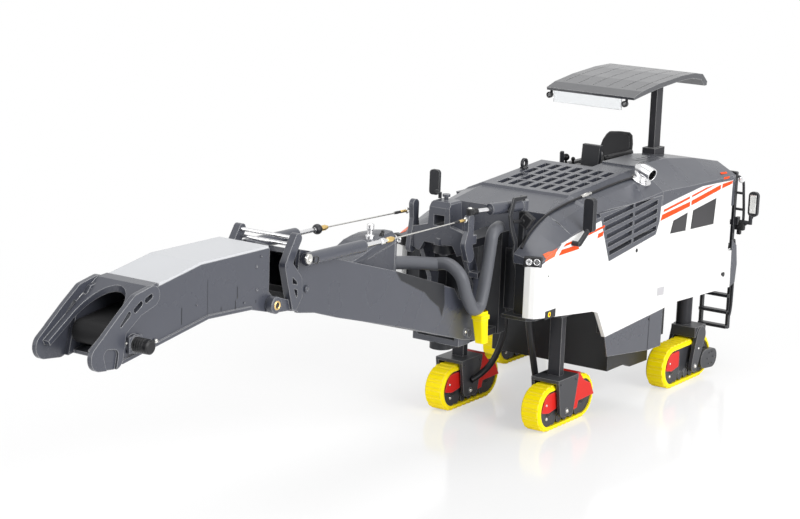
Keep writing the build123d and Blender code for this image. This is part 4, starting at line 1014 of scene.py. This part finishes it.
@dataclass
class ConveyorTrim:
    """Seams, slots, screws and fittings of both conveyor sections.

    Attributes:
        near: Distance of the front section's side plate from the middle.
        lines: Upright dark lines in the front section, (forward, low, high, width).
        screws: Screws in the front section, (forward, up, radius).
        cheek: Outline of the plates at the front section's rear end, (forward, up).
    """

    near: float = 6.2
    lines: tuple = (
        (125.65, 48.8, 55.8, 0.1), (133.4, 48.4, 51.7, 0.22), (116.4, 50.4, 52.8, 0.22),
        (116.95, 48.4, 50.1, 0.22), (121.4, 48.9, 49.6, 0.22), (110.4, 48.5, 49.1, 0.22),
    )
    screws: tuple = ((114.2, 49.2, 0.2), (129.0, 51.4, 0.16), (109.0, 57.6, 0.22))
    cheek: tuple = (
        (112.8, 57.9), (110.8, 57.5), (109.5, 56.3), (109.2, 54.2), (108.3, 52.6), (108.2, 50.6),
        (109.0, 49.2), (112.8, 49.0),
    )

    def build(self) -> None:
        """Makes the trim of the front section, the rear section and the nose."""
        lines = Form()
        for x, low, high, wide in self.lines:
            ends = ((x + wide / 2, low), (x - wide / 2, low), (x - wide / 2, high), (x + wide / 2, high))
            lines.plate([(along, self.near, z) for along, z in ends], 0.015, "seam_dark")
        lines.mirrored()
        lines.piece("conveyor_lines", "conveyor_head")
        heads = Form()
        for x, z, radius in self.screws:
            heads.bolt((x, self.near, z), LEFT, radius, "body_grey")
        heads.bolt((141.4, self.near + 0.35, 46.9), LEFT, 0.42, "bolt_steel", 0.4)
        heads.bolt((149.5, self.near + 0.1, 48.0), LEFT, 0.26, "bolt_steel")
        heads.mirrored()
        heads.piece("conveyor_screws", "conveyor_head")
        self._motor()
        for hand, tag in ((1, "left"), (-1, "right")):
            self._eyes(hand, tag)
        cheeks = Form()
        for hand in (1, -1):
            cheeks.sections([[(x, hand * y, z) for x, z in self.cheek] for y in (5.6, 6.1)], "column_grey")
            for x, z in ((110.4, 55.8), (110.2, 51.0)):
                cheeks.bolt((x, hand * 6.1, z), (0.0, float(hand), 0.0), 0.4, "body_grey", 0.3)
        cheeks.piece("head_cheeks", "conveyor_head")

    def _motor(self) -> None:
        """Makes the ribbed black end of the belt motor."""
        ribs, first, pitch, crest, groove = 5, 0.1, 0.14, 1.46, 1.39
        motor = Form()
        profile = [(0.0, 0.0), (0.0, 1.4), (0.06, crest)]
        for rib in range(ribs):
            start = first + rib * pitch
            profile += [(start, crest), (start + 0.02, groove), (start + 0.08, groove), (start + 0.1, crest)]
        profile += [(0.94, 1.4), (1.0, 1.1), (1.0, 0.0)]
        motor.turned((147.6, 7.0, 47.6), (147.6, 10.8, 47.6), profile, "lamp_black", 32)
        motor.box((145.6, self.near, 45.9), (149.4, 7.1, 49.2), "body_grey", 0.35)
        motor.piece("belt_motor", "conveyor_head")

    @staticmethod
    def _eyes(hand: int, tag: str) -> None:
        """Makes the sleeve and rings at one side's folding pin and foot pin.

        Args:
            hand: 1 for the left side and -1 for the right.
            tag: The side's name, which ends the piece's.
        """
        eye = Form()
        fold = (105.8, 47.4)

        def at(place: tuple[float, float], out: float) -> Place:
            """Gives a place on this side, from (forward, up) and the distance from the middle."""
            return (place[0], hand * out, place[1])

        eye.turned(at(fold, 6.9), at(fold, 8.5), [
            (0.0, 1.75), (0.62, 1.75), (0.7, 1.6), (0.72, 1.0), (0.72, 0.0),
        ], "body_grey", 32)
        eye.ring(at(fold, 8.1), LEFT, 0.78, 0.17, "brass")
        eye.turned(at(fold, 7.6), at(fold, 8.1), [(0.0, 0.7), (0.9, 0.7), (1.0, 0.0)], "rim_black", 20)
        out = (0.0, hand * 1.0, 0.0)
        eye.bolt(at((95.1, 48.8), 7.2), out, 0.75, "body_grey", 0.5)
        eye.bolt(at((33.2, 27.8), 7.2), out, 0.4, "bolt_steel", 0.35)
        eye.ring(at((33.2, 27.8), 7.2), LEFT, 0.75, 0.12, "body_grey")
        eye.piece("conveyor_eyes_" + tag, "conveyor")


@dataclass
class CylinderTrim:
    """Rods, wires and end fittings of the two lifting cylinders, and the turning cylinder's rod.

    Attributes:
        side: Distance of the lifting cylinders from the middle.
        pin: Place of the barrels' pins, (forward, up).
        fall: Height lost per millimetre backwards along them.
        wire_from: Forward place where the wires begin.
        wire_run: How far back the wires reach.
        closing: How much closer to the middle the wires end.
        eye: Forward place of the eyes on the yoke's arms.
        slew_foot: Foot of the turning cylinder.
        slew_head: Eye of its rod.
        slew_length: Distance between the two.
        knob: Round stop on the right rod, as (start, end, profile, finish, sides) along the line.
        nut: The left rod's end fitting, given in the same way.
        rod: The bright rod, in the same way.
        wire: The fittings and the wire behind the stop or nut, in the same way.
    """

    side: float = 8.7
    pin: tuple[float, float] = (96.0, 55.4)
    fall: float = 0.02
    wire_from: float = 67.8
    wire_run: float = 31.8
    closing: float = 0.9
    eye: float = 36.0
    slew_foot: Place = (18.5, 12.1, 55.7)
    slew_head: Place = (34.0, 7.7, 55.7)
    slew_length: float = 16.11
    knob: tuple = (70.7, 68.4, [
        (0.0, 0.0), (0.02, 0.5), (0.15, 0.86), (0.35, 1.1), (0.5, 1.15), (0.65, 1.1), (0.85, 0.86),
        (0.98, 0.5), (1.0, 0.0),
    ], "frame_black", 28)
    nut: tuple = (71.0, 68.5, [(0.0, 0.4), (0.1, 0.66), (0.5, 0.7), (0.6, 0.45), (1.0, 0.4)], "chrome", 24)
    rod: tuple = (84.0, 70.4, [(0.0, 0.0), (0.0, 0.5), (0.98, 0.5), (1.0, 0.42), (1.0, 0.0)], "chrome", 24)
    wire: tuple = (
        (68.6, 66.0, [
            (0.0, 0.0), (0.0, 0.55), (0.3, 0.62), (0.7, 0.62), (0.75, 0.45), (1.0, 0.4), (1.0, 0.0),
        ], "brass", 20),
        (66.4, 40.0, [(0.0, 0.0), (0.0, 0.16), (1.0, 0.16), (1.0, 0.0)], "bolt_steel", 14),
        (41.2, 38.8, [
            (0.0, 0.1), (0.1, 0.3), (0.45, 0.34), (0.5, 0.24), (0.55, 0.34), (1.0, 0.3),
        ], "rim_black", 16),
        (39.0, 36.2, [(0.0, 0.2), (0.1, 0.34), (0.8, 0.34), (1.0, 0.2)], "brass", 16),
    )

    def _on(self, x: float, hand: int) -> Place:
        """Gives a place on a lifting cylinder's line."""
        share = min(1.0, max(0.0, (self.wire_from - x) / self.wire_run))
        return (x, hand * (self.side - self.closing * share), self.pin[1] - self.fall * (self.pin[0] - x))

    def build(self) -> None:
        """Makes the barrels' fittings and all rods."""
        barrel = Form()
        for hand in (1, -1):
            barrel.turned(self._on(78.4, hand), self._on(77.2, hand), [
                (0.0, 1.3), (0.3, 1.36), (0.9, 1.3), (1.0, 1.1), (1.0, 0.62),
            ], "body_grey", 28)
            barrel.turned((98.3, hand * 9.8, 55.9), (98.3, hand * 10.5, 55.9), [
                (0.0, 1.05), (0.7, 1.05), (0.8, 0.85), (0.8, 0.5), (0.5, 0.42), (0.5, 0.0),
            ], "bolt_steel", 24)
            barrel.ring((96.0, hand * 10.3, 55.4), LEFT, 0.75, 0.14, "frame_black")
        barrel.piece("barrel_fittings", "luff_barrels")
        rods = Form()
        for hand in (1, -1):
            stop = self.knob if hand < 0 else self.nut
            for start, end, profile, finish, sides in (self.rod, stop, *self.wire):
                rods.turned(self._on(start, hand), self._on(end, hand), profile, finish, sides)
            rods.ring(self._on(self.eye, hand), LEFT, 0.5, 0.2, "bolt_steel")
        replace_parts(rods.piece("luff_rod_wires", "luff_rods"), "luff_rods")
        self._turning()

    def _turning(self) -> None:
        """Makes the turning cylinder's bright rod with its dark fork and pin."""
        rod = Form()
        rod.turned(self._across(6.4), self._across(14.3), [(0.0, 0.0), (0.0, 0.5), (1.0, 0.5)], "chrome", 24)
        rod.turned(self._across(13.9), self._across(16.0), [
            (0.0, 0.5), (0.1, 0.72), (0.8, 0.8), (1.0, 0.6), (1.0, 0.0),
        ], "lamp_black", 24)
        x, y, _ = self.slew_head
        rod.turned((x, y, 55.1), (x, y, 56.5), [
            (0.0, 0.0), (0.0, 0.9), (0.9, 0.9), (1.0, 0.78), (1.0, 0.0),
        ], "lamp_black", 28)
        rod.bolt((x, y, 56.5), UP, 0.5, "bolt_steel", 0.25)
        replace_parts(rod.piece("slew_rod_end", "slew_rod"), "slew_rod")

    def _across(self, reach: float) -> Place:
        """Gives a place on the turning cylinder's line, counted from its foot."""
        share = reach / self.slew_length
        return tuple(a + share * (b - a) for a, b in zip(self.slew_foot, self.slew_head))


@dataclass
class TransferHood:
    """Sloping hood on the rear conveyor section, with its fittings and the dark hinge plates.

    Attributes:
        stations: Cross-sections as (forward, deck height, near edge height, crown height, far edge height).
        near: Distance of the near wall from the middle.
        far: Distance of the far wall, on the other side.
        hinge: Outline of a hinge plate, (forward, up).
    """

    stations: tuple = (
        (71.6, 48.3, 49.05, 49.1, 49.1), (68.6, 47.3, 49.35, 49.9, 50.1), (66.2, 46.5, 49.65, 50.6, 51.0),
        (63.3, 45.5, 50.3, 51.7, 52.2), (60.3, 44.5, 50.9, 52.5, 52.7), (57.5, 43.5, 51.5, 53.1, 52.95),
        (54.2, 42.3, 52.1, 53.5, 52.8),
    )
    near: float = 1.3
    far: float = -6.1
    hinge: tuple = (
        (62.4, 46.9), (60.3, 44.4), (50.8, 40.1), (48.0, 37.8), (44.7, 35.7), (43.4, 33.4), (42.4, 36.0),
        (42.8, 40.5),
    )

    def _ring(self, x: float, deck: float, edge: float, crown: float, back: float) -> list[Place]:
        """Gives the hood's outline at one station.

        Args:
            x: Where the station is, forwards.
            deck: Height of the deck that the hood stands on.
            edge: Height of the near shoulder.
            crown: Height of the hood's top.
            back: Height of the far shoulder.

        Returns:
            The corners, from the near foot to the far one.
        """
        near, far = self.near, self.far
        return [
            (x, near, deck - 0.6), (x, near + 0.15, edge - 0.3), (x, near - 0.1, (edge + crown) / 2),
            (x, near - 0.9, crown - 0.03), (x, -1.6, crown), (x, -4.0, (crown + back) / 2),
            (x, far, back - 0.15), (x, far, deck - 0.6),
        ]

    def build(self) -> None:
        """Makes the hood, its fittings and the hinge plates."""
        hood = Form()
        hood.sections([self._ring(*station) for station in self.stations], "body_grey")
        hood.box((53.75, self.far, 42.4), (54.35, self.near + 0.3, 52.0), "body_grey", 0.2)
        rim = ((54.2, 51.2), (54.2, 50.95), (65.0, 48.85), (65.0, 49.05))
        hood.plate([(x, self.near + 0.12, z) for x, z in rim], 0.05, "seam_dark")
        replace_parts(hood.piece("conveyor_hood", "conveyor"), "transfer_hood")
        fittings = Form()
        fittings.turned((60.0, -1.5, 52.0), (59.8, -1.5, 55.7), [
            (0.0, 0.0), (0.0, 1.0), (0.3, 1.0), (0.34, 0.62), (0.6, 0.55), (0.66, 0.8), (0.95, 0.8),
            (1.0, 0.6), (1.0, 0.0),
        ], "chrome", 24)
        fittings.turned((58.0, 0.1, 52.7), (57.4, 0.2, 54.0), [
            (0.0, 0.0), (0.0, 0.5), (0.5, 0.5), (0.55, 0.38), (0.9, 0.38), (1.0, 0.25), (1.0, 0.0),
        ], "rim_black", 20)
        fittings.piece("hood_fittings", "conveyor")
        plates = Form()
        plates.plate([(x, 7.22, z) for x, z in self.hinge], 0.06, "frame_black", 0.03)
        plates.mirrored()
        plates.piece("hinge_plates", "conveyor")


@dataclass
class LegTrim:
    """Screws and wheel hubs of one track leg.

    Attributes:
        name: Name of the leg.
        x: Forward place of the track.
        y: Place of the track across the machine.
        out: Side that faces out.
        front: Whether it is a front leg, with its yoke plates.
        both: Screws of every leg, as (forward, out, up, radius, finish, height) from the track's middle.
        yoke: Screws of a front leg only, in the same way.
        drive: Screws of a rear leg only, in the same way.
    """

    name: str
    x: float
    y: float
    out: int
    front: bool
    both: tuple = ((9.8, 2.58, 6.9, 0.3, "bolt_steel", 0.25), (8.9, 2.18, 3.3, 0.42, "bolt_steel", 0.3))
    yoke: tuple = (
        (2.2, 3.88, 4.2, 0.5, "bolt_steel", 0.35), (5.4, 3.78, 11.2, 0.22, "frame_black", 0.25),
        (-1.8, 3.78, 11.2, 0.22, "frame_black", 0.25),
    )
    drive: tuple = ((-1.8, 3.98, 4.2, 0.5, "bolt_steel", 0.35), (-3.4, 3.88, 8.6, 0.3, "bolt_steel", 0.25))

    def build(self) -> None:
        """Makes the screw heads and hubs of the running gear."""
        hub = [(0.0, 1.9), (0.6, 1.9), (0.8, 1.6), (0.8, 0.8), (1.0, 0.6), (1.0, 0.0)]
        form = Form()
        for hand in (-1, 1):
            for dx, dy, z, radius, finish, height in (self.yoke if self.front else self.drive) + self.both:
                place = (self.x + dx, self.y + hand * dy, z)
                form.bolt(place, (0.0, float(hand), 0.0), radius, finish, height)
            for dx in (7.8, -7.8):
                inner, outer = ((self.x + dx, self.y + hand * dy, 5.5) for dy in (2.0, 2.45))
                form.turned(inner, outer, hub, "frame_black", 24)
        if not self.front:
            bolts, circle = 6, 1.7
            for angle in (step * math.tau / bolts for step in range(bolts)):
                place = (self.x - 10.6 + circle * math.cos(angle), self.y + self.out * 3.98,
                         4.7 + circle * math.sin(angle))
                form.bolt(place, (0.0, float(self.out), 0.0), 0.2, "frame_black")
        form.piece("screws_" + self.name, "running_" + self.name)


@dataclass
class Hoses:
    """Black hoses between the frame and the front legs.

    Attributes:
        radius: Radius of a hose.
        left: Control points of the left hose.
        right: Control points of the right hose.
    """

    radius: float = 0.8
    left: tuple = (
        (9.4, 9.6, 29.4), (8.6, 9.5, 25.4), (7.0, 9.4, 20.8), (4.3, 8.8, 15.6), (1.8, 8.3, 10.4),
        (1.2, 8.4, 8.6),
    )
    right: tuple = (
        (-3.0, -4.6, 29.4), (-3.9, -4.4, 22.5), (-3.9, -4.6, 17.5), (-2.6, -6.0, 11.6), (0.2, -8.0, 8.0),
        (2.4, -9.4, 6.8),
    )

    def build(self) -> None:
        """Makes both hoses, bending between the frame and the leg."""
        for tag, places in (("left", self.left), ("right", self.right)):
            hose = tube("leg_hose_" + tag, places, self.radius, "hose_black")
            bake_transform(hose)


@dataclass
class PipeCuff:
    """Soft cuff between the conveyor's hood and the dust pipe, and the collar above the chute.

    Attributes:
        line: Control points of the cuff, from inside the hood to inside the pipe.
    """

    line: tuple = ((53.4, -0.3, 46.1), (49.5, 0.35, 45.6), (44.6, 1.25, 44.85), (39.4, 2.9, 43.95))

    def build(self) -> None:
        """Makes the cuff and the collar."""
        cuff = tube("pipe_cuff", self.line, 1.5, "pipe_grey", slot="pipe_grey")
        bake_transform(cuff)
        collar = Form()
        collar.turned((31.2, 9.9, 31.9), (31.2, 9.9, 32.9), [
            (0.0, 1.5), (0.0, 1.66), (0.8, 1.66), (1.0, 1.46),
        ], "yellow_plastic", 32)
        collar.piece("pipe_collar", "slewer")


@dataclass
class LadderTrim:
    """Hand rails, grey side plate and lamp at the rear-left ladder, and the mirror's face and stay.

    Attributes:
        rails: Name, control points and radius of each bent bar.
        plate: Outline of the side plate, (forward, up).
    """

    rails: tuple = (
        ("ladder_rail", ((-79.9, 19.4, 33.2), (-80.9, 19.4, 30.6), (-81.1, 19.4, 25.0), (-81.0, 19.4, 18.6),
                         (-80.9, 19.4, 14.0), (-80.2, 19.4, 12.6)), 0.4),
        ("rail_outer", ((-79.5, 19.6, 50.2), (-79.5, 20.6, 50.0), (-79.5, 21.2, 49.0), (-79.5, 21.4, 46.0),
                        (-79.5, 21.9, 40.0), (-79.5, 21.8, 37.6)), 0.36),
        ("mirror_stay", ((-79.4, 22.2, 37.6), (-79.4, 23.2, 38.2), (-79.4, 24.2, 39.4),
                         (-79.4, 24.7, 41.2)), 0.34),
    )
    plate: tuple = ((-77.4, 33.6), (-80.2, 31.8), (-81.2, 26.6), (-80.6, 21.6), (-77.9, 21.0))

    def build(self) -> None:
        """Makes the rails, the plate, the lamp and the mirror's face."""
        inner, *outer = self.rails
        tube(*inner, "frame_black", "chassis", "frame_black")
        lamp = Form()
        lamp.turned((-79.6, 20.6, 49.6), (-78.5, 21.0, 49.6), [
            (0.0, 0.6), (0.5, 0.8), (0.9, 0.8), (1.0, 0.6), (1.0, 0.0),
        ], "chrome", 24)
        lamp.piece("post_lamp", "chassis")
        face = Form()
        face.box((-79.0, 23.7, 41.1), (-78.5, 25.5, 46.0), "mirror_face", 0.15)
        face.piece("mirror_faces", "chassis")
        bars = Form()
        bars.plate([(x, 19.9, z) for x, z in self.plate][::-1], 0.25, "body_grey", 0.08)
        for z in (45.9, 41.6):
            bars.box((-79.9, 19.3, z - 0.3), (-79.1, 21.5, z + 0.3), "frame_black", 0.12)
        bars.box((-80.1, 19.1, 36.1), (-78.7, 22.4, 38.5), "lamp_black", 0.3)
        bars.box((-80.0, 20.3, 34.9), (-79.0, 21.4, 36.4), "lamp_black", 0.2)
        bars.piece("rail_fittings", "chassis")
        for rail in outer:
            tube(*rail, "frame_black", "chassis", "frame_black")


@dataclass
class Exhaust:
    """Bright exhaust: flange on the hood, short stack and a side-facing outlet.

    Attributes:
        foot: Middle of the flange.
        tilt: The hood's outward direction there.
        bend: Place where the stack turns.
        outlet: Middle of the outlet.
    """

    foot: Place = (-31.4, 15.9, 55.0)
    tilt: Place = (0.05, 0.42, 0.9)
    bend: Place = (-31.6, 15.7, 58.1)
    outlet: Place = (-30.9, 19.3, 56.9)

    def build(self) -> None:
        """Makes the exhaust and puts it in the place of the plain one."""
        form = Form()
        under = tuple(a - b * 0.5 for a, b in zip(self.foot, self.tilt))
        over = tuple(a + b * 0.8 for a, b in zip(self.foot, self.tilt))
        form.turned(under, over, [
            (0.0, 2.3), (0.3, 2.55), (0.75, 2.55), (0.85, 2.3), (0.85, 1.9), (1.0, 1.8), (1.0, 0.0),
        ], "chrome", 40)
        form.turned(self.foot, self.bend, [
            (0.0, 1.75), (0.5, 1.6), (0.8, 1.55), (1.0, 1.3), (1.2, 0.7), (1.25, 0.0),
        ], "chrome", 36)
        form.turned(self.bend, self.outlet, [
            (-0.42, 0.0), (-0.36, 0.8), (-0.2, 1.35), (0.0, 1.58), (0.2, 1.64), (0.96, 1.64), (1.0, 1.58),
            (1.0, 1.34), (0.96, 1.3), (0.8, 1.28),
        ], "chrome", 40)
        form.turned(self.bend, self.outlet, [(0.92, 1.29), (0.4, 1.2), (0.4, 0.0)], "rim_black", 32)
        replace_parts(form.piece("exhaust_stack", "chassis"), "exhaust")


@dataclass
class SeatAndControls:
    """Rounded seat, the glossy side console beside it and the two control knobs.

    Attributes:
        back: Outline of the backrest, (across, up).
        middle: Middle of that outline.
        layers: Backrest layers as (forward, inset share).
        lean: How far the backrest leans back per millimetre of height.
        upright: Height at which the layers' places hold.
        knobs: Middle and radius of each knob.
    """

    back: tuple = (
        (-9.5, 60.3), (-8.8, 61.0), (-6.0, 61.3), (-3.3, 61.3), (-2.4, 60.6), (-1.9, 58.5), (-1.7, 55.0),
        (-2.0, 52.4), (-9.2, 52.4), (-9.6, 55.2), (-10.8, 56.8), (-10.3, 58.8),
    )
    middle: tuple[float, float] = (-5.6, 56.8)
    layers: tuple = ((-58.2, 0.80), (-58.4, 0.94), (-58.9, 1.0), (-59.9, 1.0), (-60.3, 0.93))
    lean: float = 0.22
    upright: float = 56.0
    knobs: tuple = ((-46.0, -13.4, 55.4, 0.95), (-46.0, -11.3, 55.2, 0.55))

    def build(self) -> None:
        """Makes the seat, the console and the knobs."""
        seat = Form()
        my, mz = self.middle
        seat.sections([
            [
                (x - self.lean * (z - self.upright), my + (y - my) * share, mz + (z - mz) * share)
                for y, z in self.back
            ] for x, share in self.layers
        ], "seat_black")
        seat.box((-58.6, -9.2, 52.3), (-51.6, -2.2, 54.9), "seat_black", 0.8)
        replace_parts(seat.piece("operator_seat", "chassis", 50.0), "seat")
        desk = Form()
        desk.box((-58.6, -2.0, 52.3), (-44.6, -0.4, 57.5), "lamp_black", 0.7)
        for x, y, z, radius in self.knobs:
            desk.turned((x, y, z - radius), (x, y, z + radius), [
                (0.0, 0.0), (0.06, radius * 0.5), (0.25, radius * 0.87), (0.5, radius), (0.75, radius * 0.87),
                (0.94, radius * 0.5), (1.0, 0.0),
            ], "lamp_black", 20)
            stalk = [(0.0, 0.0), (0.0, 0.4), (1.0, 0.3), (1.0, 0.0)]
            desk.turned((x, y, 52.2), (x, y, z), stalk, "lamp_black", 14)
        desk.piece("side_console", "chassis")


@dataclass
class RoofLamps:
    """Two work lamps on stalks under the canopy's front edge.

    Attributes:
        places: Distance of each lamp from the middle.
        height: Height of the lamps.
        shell: Profile of a lamp's housing.
    """

    places: tuple = (7.2, -14.2)
    height: float = 72.4
    shell: tuple = (
        (0.0, 0.0), (0.02, 0.3), (0.25, 0.6), (0.5, 0.78), (0.95, 0.8), (1.0, 0.74), (1.0, 0.62), (0.9, 0.58),
        (0.8, 0.0),
    )

    def build(self) -> None:
        """Makes both lamps in place of the plain ones."""
        form = Form()
        high = self.height
        for y in self.places:
            form.turned((-38.6, y, high), (-36.9, y, high), list(self.shell), "lamp_black", 28)
            glass = [(0.0, 0.5), (0.4, 0.54), (0.8, 0.4), (1.0, 0.0)]
            form.turned((-37.4, y, high), (-36.85, y, high), glass, "lens_clear", 24)
            bowl = [(0.0, 0.0), (0.5, 0.3), (1.0, 0.55)]
            form.turned((-37.7, y, high), (-37.4, y, high), bowl, "chrome", 24)
            form.rod((-38.2, y, high), (-38.2, y, 73.65), 0.35, "lamp_black", 16)
        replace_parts(form.piece("canopy_lamps", "chassis"), "roof_lamps")


@dataclass
class SkirtTrim:
    """Upright joint in each side skirt, with its screw.

    Attributes:
        face: Distance of the skirt's outer face from the middle.
        joint: Forward place of the joint.
    """

    face: float = 20.0
    joint: float = -32.5

    def build(self) -> None:
        """Makes the joints of both skirts."""
        form = Form()
        strip = ((0.14, 12.9), (-0.14, 12.9), (-0.34, 21.4), (-0.06, 21.4))
        form.plate([(self.joint + dx, self.face, z) for dx, z in strip], 0.02, "seam_dark")
        form.bolt((self.joint, self.face, 20.6), LEFT, 0.28, "frame_black")
        form.mirrored()
        form.piece("skirt_joints", "chassis")


# ---- model


@dataclass
class CadShell:
    """The carried-over solids with their finishes.

    Attributes:
        slots: Record slot of each node.
        shades: Nodes in another shade of their slot's paint.
    """

    slots: dict[str, str] = field(default_factory=lambda: {
        part["node"]: part["material_slot"] for part in frame["record"]["subparts"]
    })
    shades: dict[str, str] = field(default_factory=lambda: {
        "canopy": "canopy_grey", "mast": "column_grey",
        **{"column_" + leg: "column_grey" for leg in LEGS},
        **{"undercarriage_" + leg: "gear_grey" for leg in LEGS},
    })

    def dress(self) -> None:
        """Gives every carried-over node the finish of its slot."""
        for name, node in frame["nodes"].items():
            finish = FINISHES[self.shades.get(name, self.slots[name])]
            node.data.materials.clear()
            node.data.materials.append(finish.material())
            LOG.info("%s: %s", name, finish.name)


def main() -> None:
    """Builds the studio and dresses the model."""
    logging.basicConfig(level=logging.INFO, format="%(message)s")
    Studio().build()
    CadShell().dress()
    legs = zip(LEGS, (
        (0.0, 13.5, 1, True), (0.0, -13.5, -1, True), (-53.7, 18.3, 1, False), (-46.3, -25.7, -1, False),
    ))
    for part in (
        SidePanelTrim(), CornerLamps(), HoodTrim(), ConveyorTrim(), CylinderTrim(), TransferHood(),
        *(LegTrim(name, *place) for name, place in legs), Hoses(), PipeCuff(), Exhaust(), RoofLamps(),
        SeatAndControls(), LadderTrim(), SkirtTrim(),
    ):
        part.build()
        LOG.info("built %s", type(part).__name__)


if __name__ == "__main__":
    main()
